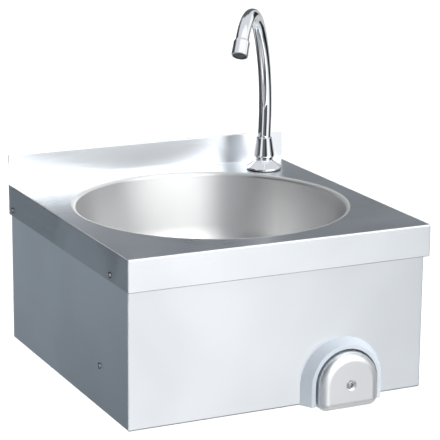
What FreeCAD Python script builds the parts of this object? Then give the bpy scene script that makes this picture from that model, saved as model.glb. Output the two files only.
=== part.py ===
"""Wall-hung stainless steel hand wash sink with a swan-neck tap and a knee-pushed valve.

Frame: millimetres, +Z up, X to the right as seen from the front, the wall is the plane y = 0 and the
sink reaches towards -Y. The origin is the middle of the wall bracket's four holes, on the wall.
"""

import FreeCAD
import Part
import Sketcher

import math
import os
import re

# Driving dimensions, each one set by itself. Angles are in degrees, everything else is in millimetres.
SIZES = {
    # how far each cutting tool reaches past what it cuts
    "overcut": 1.0,
    # small rounded edges, finest first
    "edge_fine": 0.6,
    "edge_soft": 1.0,
    "edge_round": 1.5,
    # worktop
    "deck_width": 400.0,
    "deck_depth": 400.0,
    "sheet": 1.2,
    "bend_radius": 2.0,
    "fascia_height": 40.0,
    "hem_height": 12.0,
    "hem_radius": 1.1,
    "upstand_height": 40.0,
    "upstand_hem": 10.0,
    "deck_rise": 33.0,
    # basin bowl
    "bowl_hole_radius": 176.0,
    "bowl_land": 5.0,
    "bowl_setback": 196.0,
    "bowl_depth": 125.0,
    "bowl_draft": 7.0,
    "bowl_fall": 3.0,
    "bowl_rim_fillet": 5.0,
    "bowl_corner": 55.0,
    "bowl_recess_radius": 34.0,
    "bowl_recess_depth": 3.0,
    "weld_gap": 0.02,
    # casing
    "body_height": 210.0,
    "casing_side_inset": 3.5,
    "casing_front_inset": 8.5,
    "casing_headroom": 8.0,
    "casing_return": 15.0,
    # wall bracket
    "bracket_sheet": 2.0,
    "bracket_height": 50.0,
    "bracket_ear": 28.0,
    "wall_hole_radius": 4.5,
    "wall_hole_pitch_x": 300.0,
    "wall_hole_pitch_z": 26.0,
    # side screws and rivet nuts
    "screw_radius": 2.5,
    "screw_head_radius": 3.9,
    "screw_head_height": 1.9,
    "screw_length": 11.0,
    "screw_clearance": 0.25,
    "nut_barrel_radius": 3.4,
    "nut_flange_radius": 5.0,
    "nut_length": 8.0,
    "fascia_screw_drop": 32.0,
    "front_screw_setback": 345.0,
    "rear_screw_setback": 13.0,
    "rail_screw_setback": 303.0,
    "rail_screw_drop": 156.0,
    # knee pad and its surround
    "knee_x": 84.0,
    "knee_drop": 184.0,
    "pad_radius": 40.0,
    "pad_sheet": 1.5,
    "pad_edge_radius": 11.0,
    "pad_proud": 27.0,
    "pad_depth": 31.0,
    "pad_tail": 31.5,
    "pad_gap": 2.5,
    "pad_travel": 10.0,
    "surround_ring": 5.0,
    "surround_flare": 8.5,
    "surround_depth": 15.5,
    "surround_edge": 2.0,
    "notch_gap": 1.0,
    "dimple_radius": 7.0,
    "dimple_depth": 2.6,
    "pad_screw_head": 4.2,
    "pad_screw_crown": 3.0,
    "pad_screw_dome": 1.2,
    "pad_screw_radius": 2.5,
    "pad_screw_length": 14.0,
    "surround_screw_reach": 47.0,
    "surround_screw_radius": 1.5,
    "surround_screw_head": 2.8,
    "surround_screw_bite": 6.8,
    "surround_base_drop": 2.2,
    # valve
    "rod_radius": 5.0,
    "rod_flange_radius": 12.0,
    "rod_flange_height": 3.0,
    "rod_clearance": 0.06,
    "rail_sheet": 2.0,
    "rail_setback": 318.0,
    "rail_height": 30.0,
    "rail_flange": 20.0,
    "rail_ear_reach": 8.0,
    "rail_tab_half": 27.0,
    "rail_tab_drop": 207.0,
    "valve_radius": 18.0,
    "valve_length": 50.0,
    "valve_shoulder": 4.0,
    "valve_neck_radius": 14.0,
    "valve_neck_length": 20.0,
    "valve_bore": 12.0,
    "valve_bore_depth": 60.0,
    "bonnet_hex": 30.0,
    "bonnet_head": 8.0,
    "bonnet_plug": 16.0,
    "locknut_hex": 38.0,
    "locknut_height": 7.0,
    "piston_length": 8.0,
    "piston_setback": 300.0,
    "seal_wire": 1.1,
    "seal_groove": 2.64,
    "outlet_length": 16.0,
    "half_inch_radius": 10.4,
    "water_way": 6.0,
    "spring_radius": 8.5,
    "spring_wire": 1.5,
    "spring_turns": 7.0,
    # inlets
    "port_setback": 302.0,
    "port_radius": 11.0,
    "port_reach": 12.0,
    "manifold_radius": 11.0,
    "manifold_length": 108.0,
    "manifold_end": 6.0,
    "hot_inlet_x": -40.0,
    "cold_inlet_x": 40.0,
    "check_hex": 24.0,
    "check_hex_length": 12.0,
    "check_neck": 8.0,
    "check_neck_radius": 9.0,
    "check_thread": 14.0,
    # tap
    "tap_x": 148.0,
    "tap_setback": 51.0,
    "tap_hole_radius": 11.0,
    "tap_gasket_radius": 23.0,
    "tap_gasket_height": 1.6,
    "tap_base_radius": 23.6,
    "tap_base_rim": 2.6,
    "tap_base_height": 12.8,
    "tap_base_neck": 1.5,
    "tap_base_sweep": 3.0,
    "tap_base_top_radius": 11.4,
    "tap_boss_radius": 10.6,
    "tap_boss_height": 7.5,
    "tap_shank_length": 46.0,
    "tap_way": 6.5,
    "thread_clearance": 0.08,
    "socket_depth": 12.0,
    "swivel_clearance": 0.06,
    "tap_backnut_hex": 27.0,
    "tap_backnut_height": 7.0,
    "tap_washer_radius": 17.0,
    "tap_washer_height": 3.0,
    "spout_nut_low_radius": 14.2,
    "spout_nut_top_radius": 10.0,
    "spout_nut_height": 29.5,
    "spout_nut_foot": 4.5,
    "spout_nut_roll": 3.5,
    "swivel_wire": 1.02,
    "swivel_groove": 2.28,
    "swivel_low_seal": 3.6,
    "swivel_high_seal": 9.0,
    # spout
    "spout_heading": 40.0,
    "spout_radius": 8.5,
    "spout_wall": 1.0,
    "spout_bead": 1.8,
    "spout_bead_height": 2.0,
    "spout_rise": 1.0,
    "spout_lean": 9.6,
    "spout_lean_radius": 60.0,
    "spout_sweep": 53.6,
    "spout_sweep_radius": 174.0,
    "spout_crook": 100.4,
    "spout_crook_radius": 55.7,
    "spout_drop": 21.6,
    "aerator_radius": 10.7,
    "aerator_taper": 0.3,
    "aerator_collar": 9.1,
    "aerator_shoulder": 3.0,
    "aerator_wall": 1.6,
    "aerator_length": 22.0,
    "aerator_overlap": 19.0,
    "aerator_washer_height": 1.0,
    "screen_recess": 1.4,
    "screen_step": 1.0,
    "screen_radius": 7.7,
    # pipe from the valve to the tap
    "pipe_radius": 6.0,
    "pipe_wall": 1.0,
    "pipe_bend": 40.0,
    "pipe_low_bend": 60.0,
    "union_hex": 24.0,
    "union_height": 15.0,
    "union_skirt": 2.0,
    "tail_radius": 7.4,
    "tail_length": 16.0,
    # waste
    "waste_hole_radius": 23.0,
    "waste_grid_radius": 31.5,
    "waste_grid_sheet": 1.5,
    "waste_grid_crown": 24.0,
    "waste_grid_crown_under": 25.0,
    "waste_grid_foot": 26.0,
    "waste_slot_radius": 2.6,
    "waste_ring_radius": 20.0,
    "waste_ring_count": 12.0,
    "waste_inner_ring_radius": 12.0,
    "waste_inner_count": 6.0,
    "waste_gasket": 1.5,
    "waste_lower_gasket": 2.5,
    "waste_gasket_inset": 1.0,
    "waste_flange_height": 3.0,
    "waste_cup_height": 24.0,
    "waste_cup_wall": 2.5,
    "waste_cup_slope": 6.0,
    "waste_cup_corner": 5.0,
    "waste_tail_radius": 20.95,
    "waste_tail_length": 30.0,
    "waste_tail_bore": 17.5,
    "waste_bridge_width": 9.0,
    "waste_bridge_height": 10.0,
    "waste_bridge_drop": 6.0,
    "waste_screw_radius": 3.0,
    "waste_screw_head": 5.5,
    "waste_screw_dome": 2.0,
    "waste_screw_stop": 1.0,
}

# Dimensions that follow from the driving ones, as formulas of the same sheet.
DERIVED = {
    "deck_top": "deck_rise",
    "deck_under": "deck_top - sheet",
    "fascia_low": "deck_top - fascia_height",
    "body_low": "deck_top - body_height",
    "casing_half": "deck_width / 2 - casing_side_inset",
    "casing_inner_half": "casing_half - sheet",
    "casing_front": "deck_depth - casing_front_inset",
    "casing_top": "deck_top - casing_headroom",
    # bowl, as a section through its axis
    "bowl_mouth": "bowl_hole_radius - bowl_land",
    "bowl_floor": "deck_top - bowl_depth",
    "bowl_slopes": "1 - tan(bowl_draft) * tan(bowl_fall)",
    "bowl_heel": "(bowl_mouth - tan(bowl_draft) * (bowl_depth + tan(bowl_fall) * bowl_recess_radius))"
                 " / bowl_slopes",
    "bowl_heel_z": "bowl_floor + (bowl_heel - bowl_recess_radius) * tan(bowl_fall)",
    "bowl_wall_wide": "sheet / cos(bowl_draft)",
    "bowl_floor_thick": "sheet / cos(bowl_fall)",
    "bowl_back_heel": "(bowl_mouth + bowl_wall_wide - tan(bowl_draft) * (bowl_depth + bowl_floor_thick"
                      " + tan(bowl_fall) * bowl_recess_radius)) / bowl_slopes",
    "bowl_back_heel_z": "bowl_floor - bowl_floor_thick"
                        " + (bowl_back_heel - bowl_recess_radius) * tan(bowl_fall)",
    "bowl_back_mouth": "bowl_mouth + bowl_wall_wide - sheet * tan(bowl_draft)",
    "bowl_recess_z": "bowl_floor - bowl_recess_depth",
    "bowl_under": "bowl_recess_z - sheet",
    "bowl_edge": "bowl_hole_radius - weld_gap",
    # screws in the sides
    "screw_hole": "screw_radius + screw_clearance",
    "nut_hole": "nut_barrel_radius + screw_clearance",
    "fascia_screw_z": "deck_top - fascia_screw_drop",
    "rail_screw_z": "deck_top - rail_screw_drop",
    "nut_flange_height": "casing_side_inset - 2 * sheet",
    # knee pad
    "knee_z": "deck_top - knee_drop",
    "pad_front": "casing_front + pad_proud",
    "pad_low": "knee_z - pad_tail",
    "pad_inner_radius": "pad_radius - pad_sheet",
    "opening_radius": "pad_radius + pad_gap",
    "ring_radius": "opening_radius + surround_ring",
    "flare_radius": "ring_radius + surround_flare",
    "notch_radius": "opening_radius + notch_gap",
    "dimple_floor": "pad_front - dimple_depth",
    "dimple_back": "dimple_floor - pad_sheet",
    # valve, along its axis
    "neck_front": "rail_setback + valve_neck_length",
    "bonnet_front": "neck_front + bonnet_head",
    "rod_back": "piston_setback",
    "rod_hole": "rod_radius + rod_clearance",
    "spring_front": "dimple_back - rod_flange_height",
    "spring_height": "spring_front - bonnet_front - spring_wire",
    "valve_rear": "rail_setback - valve_length",
    "outlet_rear": "valve_rear - outlet_length",
    "port_x": "knee_x - valve_radius - port_reach",
    "manifold_low": "port_x - manifold_length",
    "check_base": "manifold_radius + check_neck",
    "check_reach": "check_base + check_hex_length + check_thread",
    # tap, up and down its axis
    "tap_foot": "deck_top + tap_gasket_height",
    "tap_shoulder": "tap_foot + tap_base_height",
    "tap_boss_top": "tap_shoulder + tap_boss_height",
    "tap_shank_low": "deck_top - tap_shank_length",
    "socket_low": "tap_foot + tap_base_height - socket_depth",
    "socket_radius": "spout_radius + swivel_clearance",
    "bead_low": "tap_boss_top + 4 * swivel_clearance",
    "bead_top": "bead_low + spout_bead_height",
    "spout_nut_low": "tap_shoulder + 4 * swivel_clearance",
    "spout_nut_top": "spout_nut_low + spout_nut_height",
    "nut_shoulder": "bead_top + 4 * swivel_clearance",
    "nut_bore": "tap_boss_radius + thread_clearance",
    "tap_turn": "-(90 + spout_heading)",
    # spout centre line: distance out from the tap's axis and height
    "spout_low": "socket_low + 4 * swivel_clearance",
    "bend_z": "spout_nut_top + spout_rise",
    "lean_out": "-spout_lean_radius * (1 - cos(spout_lean))",
    "lean_z": "bend_z + spout_lean_radius * sin(spout_lean)",
    "sweep_end": "spout_sweep - spout_lean",
    "sweep_out": "lean_out + spout_sweep_radius * (cos(spout_lean) - cos(sweep_end))",
    "sweep_z": "lean_z + spout_sweep_radius * (sin(sweep_end) + sin(spout_lean))",
    "crook_end": "sweep_end + spout_crook",
    "crook_out": "sweep_out + spout_crook_radius * (cos(sweep_end) - cos(crook_end))",
    "crook_z": "sweep_z + spout_crook_radius * (sin(crook_end) - sin(sweep_end))",
    "mouth_out": "crook_out + spout_drop * sin(crook_end)",
    "mouth_z": "crook_z + spout_drop * cos(crook_end)",
    # pipe from the valve to the tap
    "pipe_top": "tap_shank_low - tail_length",
    "pipe_front": "outlet_rear - tail_length",
    # waste
    "grid_low": "bowl_recess_z + waste_gasket",
    "waste_flange_top": "bowl_under - waste_lower_gasket",
    "waste_flange_low": "waste_flange_top - waste_flange_height",
    "waste_cup_low": "waste_flange_low - waste_cup_height",
    "waste_low": "waste_cup_low - waste_tail_length",
    "bridge_top": "waste_flange_low - waste_bridge_drop",
    "bridge_low": "bridge_top - waste_bridge_height",
}

doc = FreeCAD.newDocument("hand_wash_sink")
sheet = doc.addObject("Spreadsheet::Sheet", "Sizes")
nodes = []


def fill_sheet():
    """Write every driving number, then every formula, under its own alias."""
    row = 0
    for name, number in SIZES.items():
        row += 1
        sheet.set(f"A{row}", name)
        sheet.set(f"B{row}", str(number))
        sheet.setAlias(f"B{row}", name)
    for name, formula in DERIVED.items():
        row += 1
        sheet.set(f"A{row}", name)
        sheet.set(f"B{row}", "=" + formula)
        sheet.setAlias(f"B{row}", name)
    doc.recompute()


def qualified(text):
    """Put the sheet's name before each alias of an expression."""
    known = SIZES.keys() | DERIVED.keys()
    return re.sub(r"[a-z]\w*", lambda word: f"Sizes.{word[0]}" if word[0] in known else word[0], str(text))


def value(text):
    """Return what an expression of the sheet's aliases is worth now."""
    return float(sheet.evalExpression(qualified(text)))


def bind(item, **properties):
    """Set each property of an object to an expression; two underscores stand for a dot."""
    for name, text in properties.items():
        item.setExpression(name.replace("__", "."), qualified(text))


def place(item, x="0", y="0", z="0", axis="z"):
    """Put an object's own origin at x, y, z, with its own Z turned along the named axis."""
    turns = {
        "z": FreeCAD.Rotation(),
        "x": FreeCAD.Rotation(FreeCAD.Vector(0, 1, 0), 90),
        "y": FreeCAD.Rotation(FreeCAD.Vector(1, 0, 0), -90),
    }
    item.Placement = FreeCAD.Placement(FreeCAD.Vector(value(x), value(y), value(z)), turns[axis])
    bind(item, Placement__Base__x=x, Placement__Base__y=y, Placement__Base__z=z)
    return item


def node(item, name):
    """Call an object by its node name and list it for writing."""
    item.Label = name
    nodes.append(item)
    return item


# ---------------------------------------------------------------- sketches and body features


def origin_plane(body, role):
    """Return the body's own origin plane of that role."""
    return next(o for o in body.Origin.OriginFeatures if o.Role == role)


def new_sketch(body, role, offset="0"):
    """Start a sketch on one of the body's origin planes, set off along the plane's normal."""
    sketch = body.newObject("Sketcher::SketchObject", body.Name + "_sketch")
    sketch.AttachmentSupport = [(origin_plane(body, role), "")]
    sketch.MapMode = "FlatFace"
    if offset != "0":
        bind(sketch, AttachmentOffset__Base__z=offset)
    return sketch


def constrain(sketch, rules):
    """Add constraints, each with the expression that drives it or None."""
    numbers = sketch.addConstraint([rule for rule, _ in rules])
    for number, (_, text) in zip(numbers, rules):
        if text is not None:
            sketch.setExpression(f"Constraints[{number}]", qualified(text))


def pinned(part, end, x, y):
    """Return the rules that hold one point of a sketch at x, y from the sketch's origin."""
    rules = []
    for kind, text, axis in (("DistanceX", x, -2), ("DistanceY", y, -1)):
        if text == "0":
            rules.append((Sketcher.Constraint("PointOnObject", part, end, axis), None))
        else:
            rules.append((Sketcher.Constraint(kind, -1, 1, part, end, value(text)), text))
    return rules


def circle(sketch, radius, x="0", y="0"):
    """Draw a full circle."""
    centre = FreeCAD.Vector(value(x), value(y), 0)
    part = sketch.addGeometry(Part.Circle(centre, FreeCAD.Vector(0, 0, 1), value(radius)), False)
    constrain(sketch, [(Sketcher.Constraint("Radius", part, value(radius)), radius)] + pinned(part, 3, x, y))
    return sketch


def corner_arc(before, corner, after, radius):
    """Return the arc of a rounded corner, its two ends in order, and which end of the arc comes first."""
    to_before = (before - corner).normalize()
    to_after = (after - corner).normalize()
    half = to_before.getAngle(to_after) / 2
    first = corner + to_before * (radius / math.tan(half))
    last = corner + to_after * (radius / math.tan(half))
    centre = corner + (to_before + to_after).normalize() * (radius / math.sin(half))
    start = math.atan2(first.y - centre.y, first.x - centre.x)
    stop = math.atan2(last.y - centre.y, last.x - centre.x)
    anticlockwise = (stop - start) % (2 * math.pi) < math.pi
    ends = (start, stop) if anticlockwise else (stop, start)
    arc = Part.ArcOfCircle(Part.Circle(centre, FreeCAD.Vector(0, 0, 1), radius), *ends)
    return arc, first, last, 1 if anticlockwise else 2


def outline(sketch, corners):
    """Draw a closed outline through corners given as (x, y) or, where it is rounded, (x, y, radius)."""
    spots = [FreeCAD.Vector(value(c[0]), value(c[1]), 0) for c in corners]
    count = len(corners)
    rounds = {}
    for i, corner in enumerate(corners):
        if len(corner) == 3:
            rounds[i] = corner_arc(spots[i - 1], spots[i], spots[(i + 1) % count], value(corner[2]))
    for i in range(count):
        start = rounds[i][2] if i in rounds else spots[i]
        j = (i + 1) % count
        stop = rounds[j][1] if j in rounds else spots[j]
        sketch.addGeometry(Part.LineSegment(start, stop), False)
    rules = []
    for i, corner in enumerate(corners):
        before = (i - 1) % count
        if i not in rounds:
            rules.append((Sketcher.Constraint("Coincident", before, 2, i, 1), None))
            rules += pinned(i, 1, corner[0], corner[1])
            continue
        arc, _, _, first_end = rounds[i]
        arc_part = sketch.addGeometry(arc, False)
        point = sketch.addGeometry(Part.Point(spots[i]), True)
        rules += pinned(point, 1, corner[0], corner[1])
        rules.append((Sketcher.Constraint("PointOnObject", point, 1, before), None))
        rules.append((Sketcher.Constraint("PointOnObject", point, 1, i), None))
        rules.append((Sketcher.Constraint("Tangent", before, 2, arc_part, first_end), None))
        rules.append((Sketcher.Constraint("Tangent", arc_part, 3 - first_end, i, 1), None))
        rules.append((Sketcher.Constraint("Radius", arc_part, value(corner[2])), corner[2]))
    constrain(sketch, rules)
    return sketch


def rectangle(sketch, x_low, x_high, y_low, y_high):
    """Draw a rectangle between two values of each axis."""
    return outline(sketch, [(x_low, y_low), (x_high, y_low), (x_high, y_high), (x_low, y_high)])


def arch(sketch, radius, low, x="0", y="0"):
    """Draw a half-round arch of that radius about x, y, whose straight legs end at the height low."""
    left, right = f"({x}) - ({radius})", f"({x}) + ({radius})"
    a = FreeCAD.Vector(value(left), value(low), 0)
    b = FreeCAD.Vector(value(right), value(low), 0)
    c = FreeCAD.Vector(value(right), value(y), 0)
    d = FreeCAD.Vector(value(left), value(y), 0)
    centre = FreeCAD.Vector(value(x), value(y), 0)
    curve = Part.Circle(centre, FreeCAD.Vector(0, 0, 1), value(radius))
    sketch.addGeometry([
        Part.LineSegment(a, b),
        Part.LineSegment(b, c),
        Part.ArcOfCircle(curve, 0, math.pi),
        Part.LineSegment(d, a),
    ], False)
    rules = [(Sketcher.Constraint("Coincident", i, 2, (i + 1) % 4, 1), None) for i in range(4)]
    rules += pinned(0, 1, left, low) + pinned(0, 2, right, low)
    rules += pinned(2, 1, right, y) + pinned(2, 2, left, y) + pinned(2, 3, x, y)[1:]
    constrain(sketch, rules)
    return sketch


def new_body(name):
    """Start a body."""
    return doc.addObject("PartDesign::Body", name)


def pad(body, sketch, length, backwards=False):
    """Pad a sketch by a length, along its normal or backwards."""
    feature = body.newObject("PartDesign::Pad", body.Name + "_pad")
    feature.Profile = sketch
    feature.Reversed = backwards
    bind(feature, Length=length)
    doc.recompute()
    return feature


def pocket(body, sketch, length=None, backwards=False, both=False):
    """Cut a sketch into the body, to a depth or all the way, and make sure that it cuts."""
    before = body.Shape.Volume
    feature = body.newObject("PartDesign::Pocket", body.Name + "_pocket")
    feature.Profile = sketch
    feature.Reversed = backwards
    if both:
        feature.SideType = "Symmetric"
    if length is None:
        feature.Type = "ThroughAll"
    else:
        bind(feature, Length=length)
    doc.recompute()
    if body.Shape.Volume > before - 0.01:
        raise RuntimeError(f"{feature.Name} cuts nothing")
    return feature


def revolve(body, corners, x="0", y="0", z="0", axis="z"):
    """Turn an outline of (radius, height) corners about the body's own Z and place the body."""
    sketch = outline(new_sketch(body, "XZ_Plane"), corners)
    feature = body.newObject("PartDesign::Revolution", body.Name + "_revolution")
    feature.Profile = sketch
    feature.ReferenceAxis = (sketch, ["V_Axis"])
    feature.Angle = 360
    place(body, x, y, z, axis)
    doc.recompute()
    return body


def turned(name, corners, x="0", y="0", z="0", axis="z"):
    """Make a turned piece of (radius, height) corners as a body of its own."""
    return revolve(new_body(name), corners, x, y, z, axis)


def round_edges(body, feature, radius, wanted):
    """Round the edges of a feature that pass a test."""
    names = [f"Edge{i + 1}" for i, edge in enumerate(feature.Shape.Edges) if wanted(edge)]
    if not names:
        raise RuntimeError(f"no edge to round on {feature.Name}")
    fillet = body.newObject("PartDesign::Fillet", body.Name + "_fillet")
    fillet.Base = (feature, names)
    bind(fillet, Radius=radius)
    doc.recompute()
    return fillet


# ---------------------------------------------------------------- simple solids and their sums


def rod(name, radius, height, x="0", y="0", z="0", axis="z"):
    """Make a cylinder that starts at x, y, z and runs along the named axis."""
    item = doc.addObject("Part::Cylinder", name)
    bind(item, Radius=radius, Height=height)
    return place(item, x, y, z, axis)


def hexagon(name, across_flats, height, x="0", y="0", z="0", axis="z"):
    """Make a hexagonal prism from its size across the flats, with its corners chamfered at both ends."""
    flats = doc.addObject("Part::Prism", name + "_flats")
    flats.Polygon = 6
    bind(flats, Circumradius=f"{across_flats} / 2 / cos(30)", Height=height)
    place(flats, x, y, z, axis)
    reach = f"{across_flats} / 2 / cos(30) + overcut"
    slope = f"({reach} - {across_flats} / 2) * tan(30)"
    crowned = turned(name + "_crowned", [
        ("0", "0"), (f"{across_flats} / 2", "0"), (reach, slope), (reach, f"({height}) - {slope}"),
        (f"{across_flats} / 2", height), ("0", height),
    ], x, y, z, axis)
    return shared(name, [flats, crowned])


def block(name, x, y, z, length, width, height):
    """Make a box from its low corner and its sizes along X, Y and Z."""
    item = doc.addObject("Part::Box", name)
    bind(item, Length=length, Width=width, Height=height)
    return place(item, x, y, z)


def ring(name, radius, wire, x="0", y="0", z="0", axis="z"):
    """Make a torus from its middle radius and the radius of its wire."""
    item = doc.addObject("Part::Torus", name)
    bind(item, Radius1=radius, Radius2=wire)
    return place(item, x, y, z, axis)


def joined(name, items):
    """Fuse several solids into one."""
    item = doc.addObject("Part::MultiFuse", name)
    item.Shapes = items
    return item


def cut(name, base, tools):
    """Cut several tools out of a base and make sure that they cut."""
    item = doc.addObject("Part::Cut", name)
    item.Base = base
    item.Tool = tools[0] if len(tools) == 1 else joined(name + "_tools", tools)
    doc.recompute()
    if item.Shape.Volume > item.Base.Shape.Volume - 0.01:
        raise RuntimeError(f"{name} cuts nothing")
    return item


def shared(name, items):
    """Keep what several solids have in common."""
    item = doc.addObject("Part::MultiCommon", name)
    item.Shapes = items
    return item


def group(name, items):
    """Hold separate alike solids together as one node."""
    item = doc.addObject("Part::Compound", name)
    item.Links = items
    return item


# ---------------------------------------------------------------- places of the screws

SIDES = ("left", "right")


def side_spots():
    """Return side, setback and height of each screw through the skirt's sides, by kind."""
    fascia = [(side, setback, "fascia_screw_z") for side in SIDES
              for setback in ("front_screw_setback", "rear_screw_setback")]
    rail = [(side, "rail_screw_setback", "rail_screw_z") for side in SIDES]
    return fascia, rail


def across(name, side, radius, outer, length, setback, height):
    """Make a rod that runs inwards through one side from the distance outer off the middle."""
    start = f"-({outer})" if side == "left" else f"({outer}) - ({length})"
    return rod(name, radius, length, start, f"-{setback}", height, "x")


def surround_spots():
    """Return x and height expressions of the three screws that hold the knee surround."""
    return [
        ("knee_x - surround_screw_reach", "knee_z - pad_tail / 2"),
        ("knee_x + surround_screw_reach", "knee_z - pad_tail / 2"),
        ("knee_x", "knee_z + surround_screw_reach"),
    ]


# ---------------------------------------------------------------- sheet metal


def is_level(edge, z):
    """Tell whether an edge lies in the plane at height z."""
    box = edge.BoundBox
    return abs(box.ZMin - z) < 1e-4 and abs(box.ZMax - z) < 1e-4


def is_upright(edge):
    """Tell whether an edge runs straight up."""
    box = edge.BoundBox
    return box.ZLength > 1 and box.XLength < 1e-4 and box.YLength < 1e-4


def worktop():
    """The folded worktop: deck, three fascias with a hem inside, and the rear upstand."""
    body = new_body("worktop_sheet")
    half = "deck_width / 2"
    plan = rectangle(new_sketch(body, "XY_Plane", "fascia_low"), f"-{half}", half, "-deck_depth", "0")
    solid = pad(body, plan, "fascia_height")
    top, rear = value("deck_top"), 0.0

    def outer_bend(edge):
        on_wall = abs(edge.BoundBox.YMax - rear) < 1e-4
        if is_upright(edge):
            return not on_wall
        whole = abs(edge.BoundBox.YMin - rear) < 1e-4
        return is_level(edge, top) and not whole

    def folded_edge(edge):
        return is_level(edge, value("fascia_low")) and edge.BoundBox.YMin < rear - 1

    bent = round_edges(body, solid, "bend_radius", outer_bend)
    round_edges(body, bent, "edge_soft", folded_edge)
    inside = rectangle(new_sketch(body, "XY_Plane", "fascia_low"), f"sheet - {half}", f"{half} - sheet",
                       "sheet - deck_depth", "sheet")
    pocket(body, inside, "fascia_height - sheet", backwards=True)
    hem = outline(new_sketch(body, "XY_Plane", "fascia_low"), [
        (f"edge_soft - {half}", "0"), (f"edge_soft - {half}", "edge_soft - deck_depth"),
        (f"{half} - edge_soft", "edge_soft - deck_depth"), (f"{half} - edge_soft", "0"),
        (f"{half} - 2 * sheet", "0"), (f"{half} - 2 * sheet", "2 * sheet - deck_depth"),
        (f"2 * sheet - {half}", "2 * sheet - deck_depth"), (f"2 * sheet - {half}", "0"),
    ])
    pad(body, hem, "hem_height")
    section = outline(new_sketch(body, "YZ_Plane", f"-{half}"), [
        ("0", "deck_top + upstand_height - upstand_hem"), ("0", "deck_top + upstand_height", "hem_radius"),
        ("-2 * sheet", "deck_top + upstand_height", "hem_radius"),
        ("-2 * sheet", "deck_top", "bend_radius"),
        ("-2 * sheet - 2 * bend_radius", "deck_top"), ("-2 * sheet - 2 * bend_radius", "deck_under"),
        ("-sheet", "deck_under"), ("-sheet", "deck_top + upstand_height - upstand_hem"),
    ])
    pad(body, section, "deck_width")
    bowl_hole = circle(new_sketch(body, "XY_Plane", "deck_top"), "bowl_hole_radius", "0", "-bowl_setback")
    pocket(body, bowl_hole, "2 * sheet")
    tap_hole = circle(new_sketch(body, "XY_Plane", "deck_top"), "tap_hole_radius", "tap_x", "-tap_setback")
    pocket(body, tap_hole, "2 * sheet")
    holes = [across(f"fascia_hole_{i}", side, "screw_hole", f"{half} + overcut", "2 * (sheet + overcut)",
                    setback, z)
             for i, (side, setback, z) in enumerate(side_spots()[0])]
    return node(cut("worktop_cut", body, holes), "worktop")


def basin_bowl():
    """The pressed round bowl, whose edge is welded flush into the worktop."""
    return node(turned("bowl", [
        ("bowl_edge", "deck_top"),
        ("bowl_mouth", "deck_top", "bowl_rim_fillet"),
        ("bowl_heel", "bowl_heel_z", "bowl_corner"),
        ("bowl_recess_radius", "bowl_floor"),
        ("bowl_recess_radius", "bowl_recess_z"),
        ("waste_hole_radius", "bowl_recess_z"),
        ("waste_hole_radius", "bowl_under"),
        ("bowl_recess_radius + sheet", "bowl_under"),
        ("bowl_recess_radius + sheet", "bowl_floor - bowl_floor_thick + sheet * tan(bowl_fall)"),
        ("bowl_back_heel", "bowl_back_heel_z", "bowl_corner + sheet"),
        ("bowl_back_mouth", "deck_under", "bowl_rim_fillet - sheet"),
        ("bowl_edge", "deck_under"),
    ], y="-bowl_setback"), "basin_bowl")


def casing():
    """The folded skirt: a front and two sides with bottom returns, notched for the knee pad."""
    body = new_body("casing_sheet")
    plan = rectangle(new_sketch(body, "XY_Plane", "body_low"), "-casing_half", "casing_half",
                     "-casing_front", "0")
    solid = pad(body, plan, "casing_top - body_low")
    low = value("body_low")

    def outer_bend(edge):
        at_wall = edge.BoundBox.YMin > -1e-4
        return not at_wall and (is_upright(edge) or is_level(edge, low))

    round_edges(body, solid, "bend_radius", outer_bend)
    inside = rectangle(new_sketch(body, "XY_Plane", "body_low + sheet"), "-casing_inner_half",
                       "casing_inner_half", "sheet - casing_front", "sheet")
    pocket(body, inside, "casing_top - body_low", backwards=True)
    opening = rectangle(new_sketch(body, "XY_Plane", "body_low"), "casing_return - casing_half",
                        "casing_half - casing_return", "casing_return - casing_front", "sheet")
    pocket(body, opening, "2 * sheet", backwards=True)
    notch = arch(new_sketch(body, "XZ_Plane", "casing_front - casing_return - overcut"), "notch_radius",
                 "body_low - sheet", "knee_x", "knee_z")
    pocket(body, notch, "casing_return + 2 * overcut", backwards=True)
    fascia, rail = side_spots()
    tools = [across(f"casing_nut_hole_{i}", side, "nut_hole", "casing_half + overcut", "sheet + 2 * overcut",
                    setback, z)
             for i, (side, setback, z) in enumerate(fascia)]
    tools += [across(f"casing_rail_hole_{i}", side, "screw_hole", "casing_half + overcut",
                     "sheet + 2 * overcut", setback, z)
              for i, (side, setback, z) in enumerate(rail)]
    tools += [rod(f"casing_knee_hole_{i}", "surround_screw_radius + screw_clearance", "sheet + 2 * overcut",
                  x, "-casing_front - overcut", z, "y")
              for i, (x, z) in enumerate(surround_spots())]
    return node(cut("casing_cut", body, tools), "casing")


def wall_bracket():
    """The plate on the wall with four holes, and an ear at each end for the rear side screws."""
    body = new_body("bracket_sheet_body")
    half = "casing_inner_half"
    plan = outline(new_sketch(body, "XY_Plane", "-bracket_height / 2"), [
        (f"-{half}", "0", "bend_radius + bracket_sheet"), (half, "0", "bend_radius + bracket_sheet"),
        (half, "-bracket_ear"), (f"{half} - bracket_sheet", "-bracket_ear"),
        (f"{half} - bracket_sheet", "-bracket_sheet", "bend_radius"),
        (f"bracket_sheet - {half}", "-bracket_sheet", "bend_radius"),
        (f"bracket_sheet - {half}", "-bracket_ear"), (f"-{half}", "-bracket_ear"),
    ])
    pad(body, plan, "bracket_height")
    tools = [rod(f"wall_hole_{i}", "wall_hole_radius", "bracket_sheet + 2 * overcut",
                 f"{sx} * wall_hole_pitch_x / 2", "-bracket_sheet - overcut", f"{sz} * wall_hole_pitch_z / 2",
                 "y")
             for i, (sx, sz) in enumerate([(-1, -1), (1, -1), (-1, 1), (1, 1)])]
    tools += [across(f"bracket_nut_hole_{i}", side, "nut_hole", "casing_half + overcut",
                     "sheet + bracket_sheet + 2 * overcut", setback, z)
              for i, (side, setback, z) in enumerate(side_spots()[0]) if setback == "rear_screw_setback"]
    return node(cut("bracket_cut", body, tools), "wall_bracket")


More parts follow.
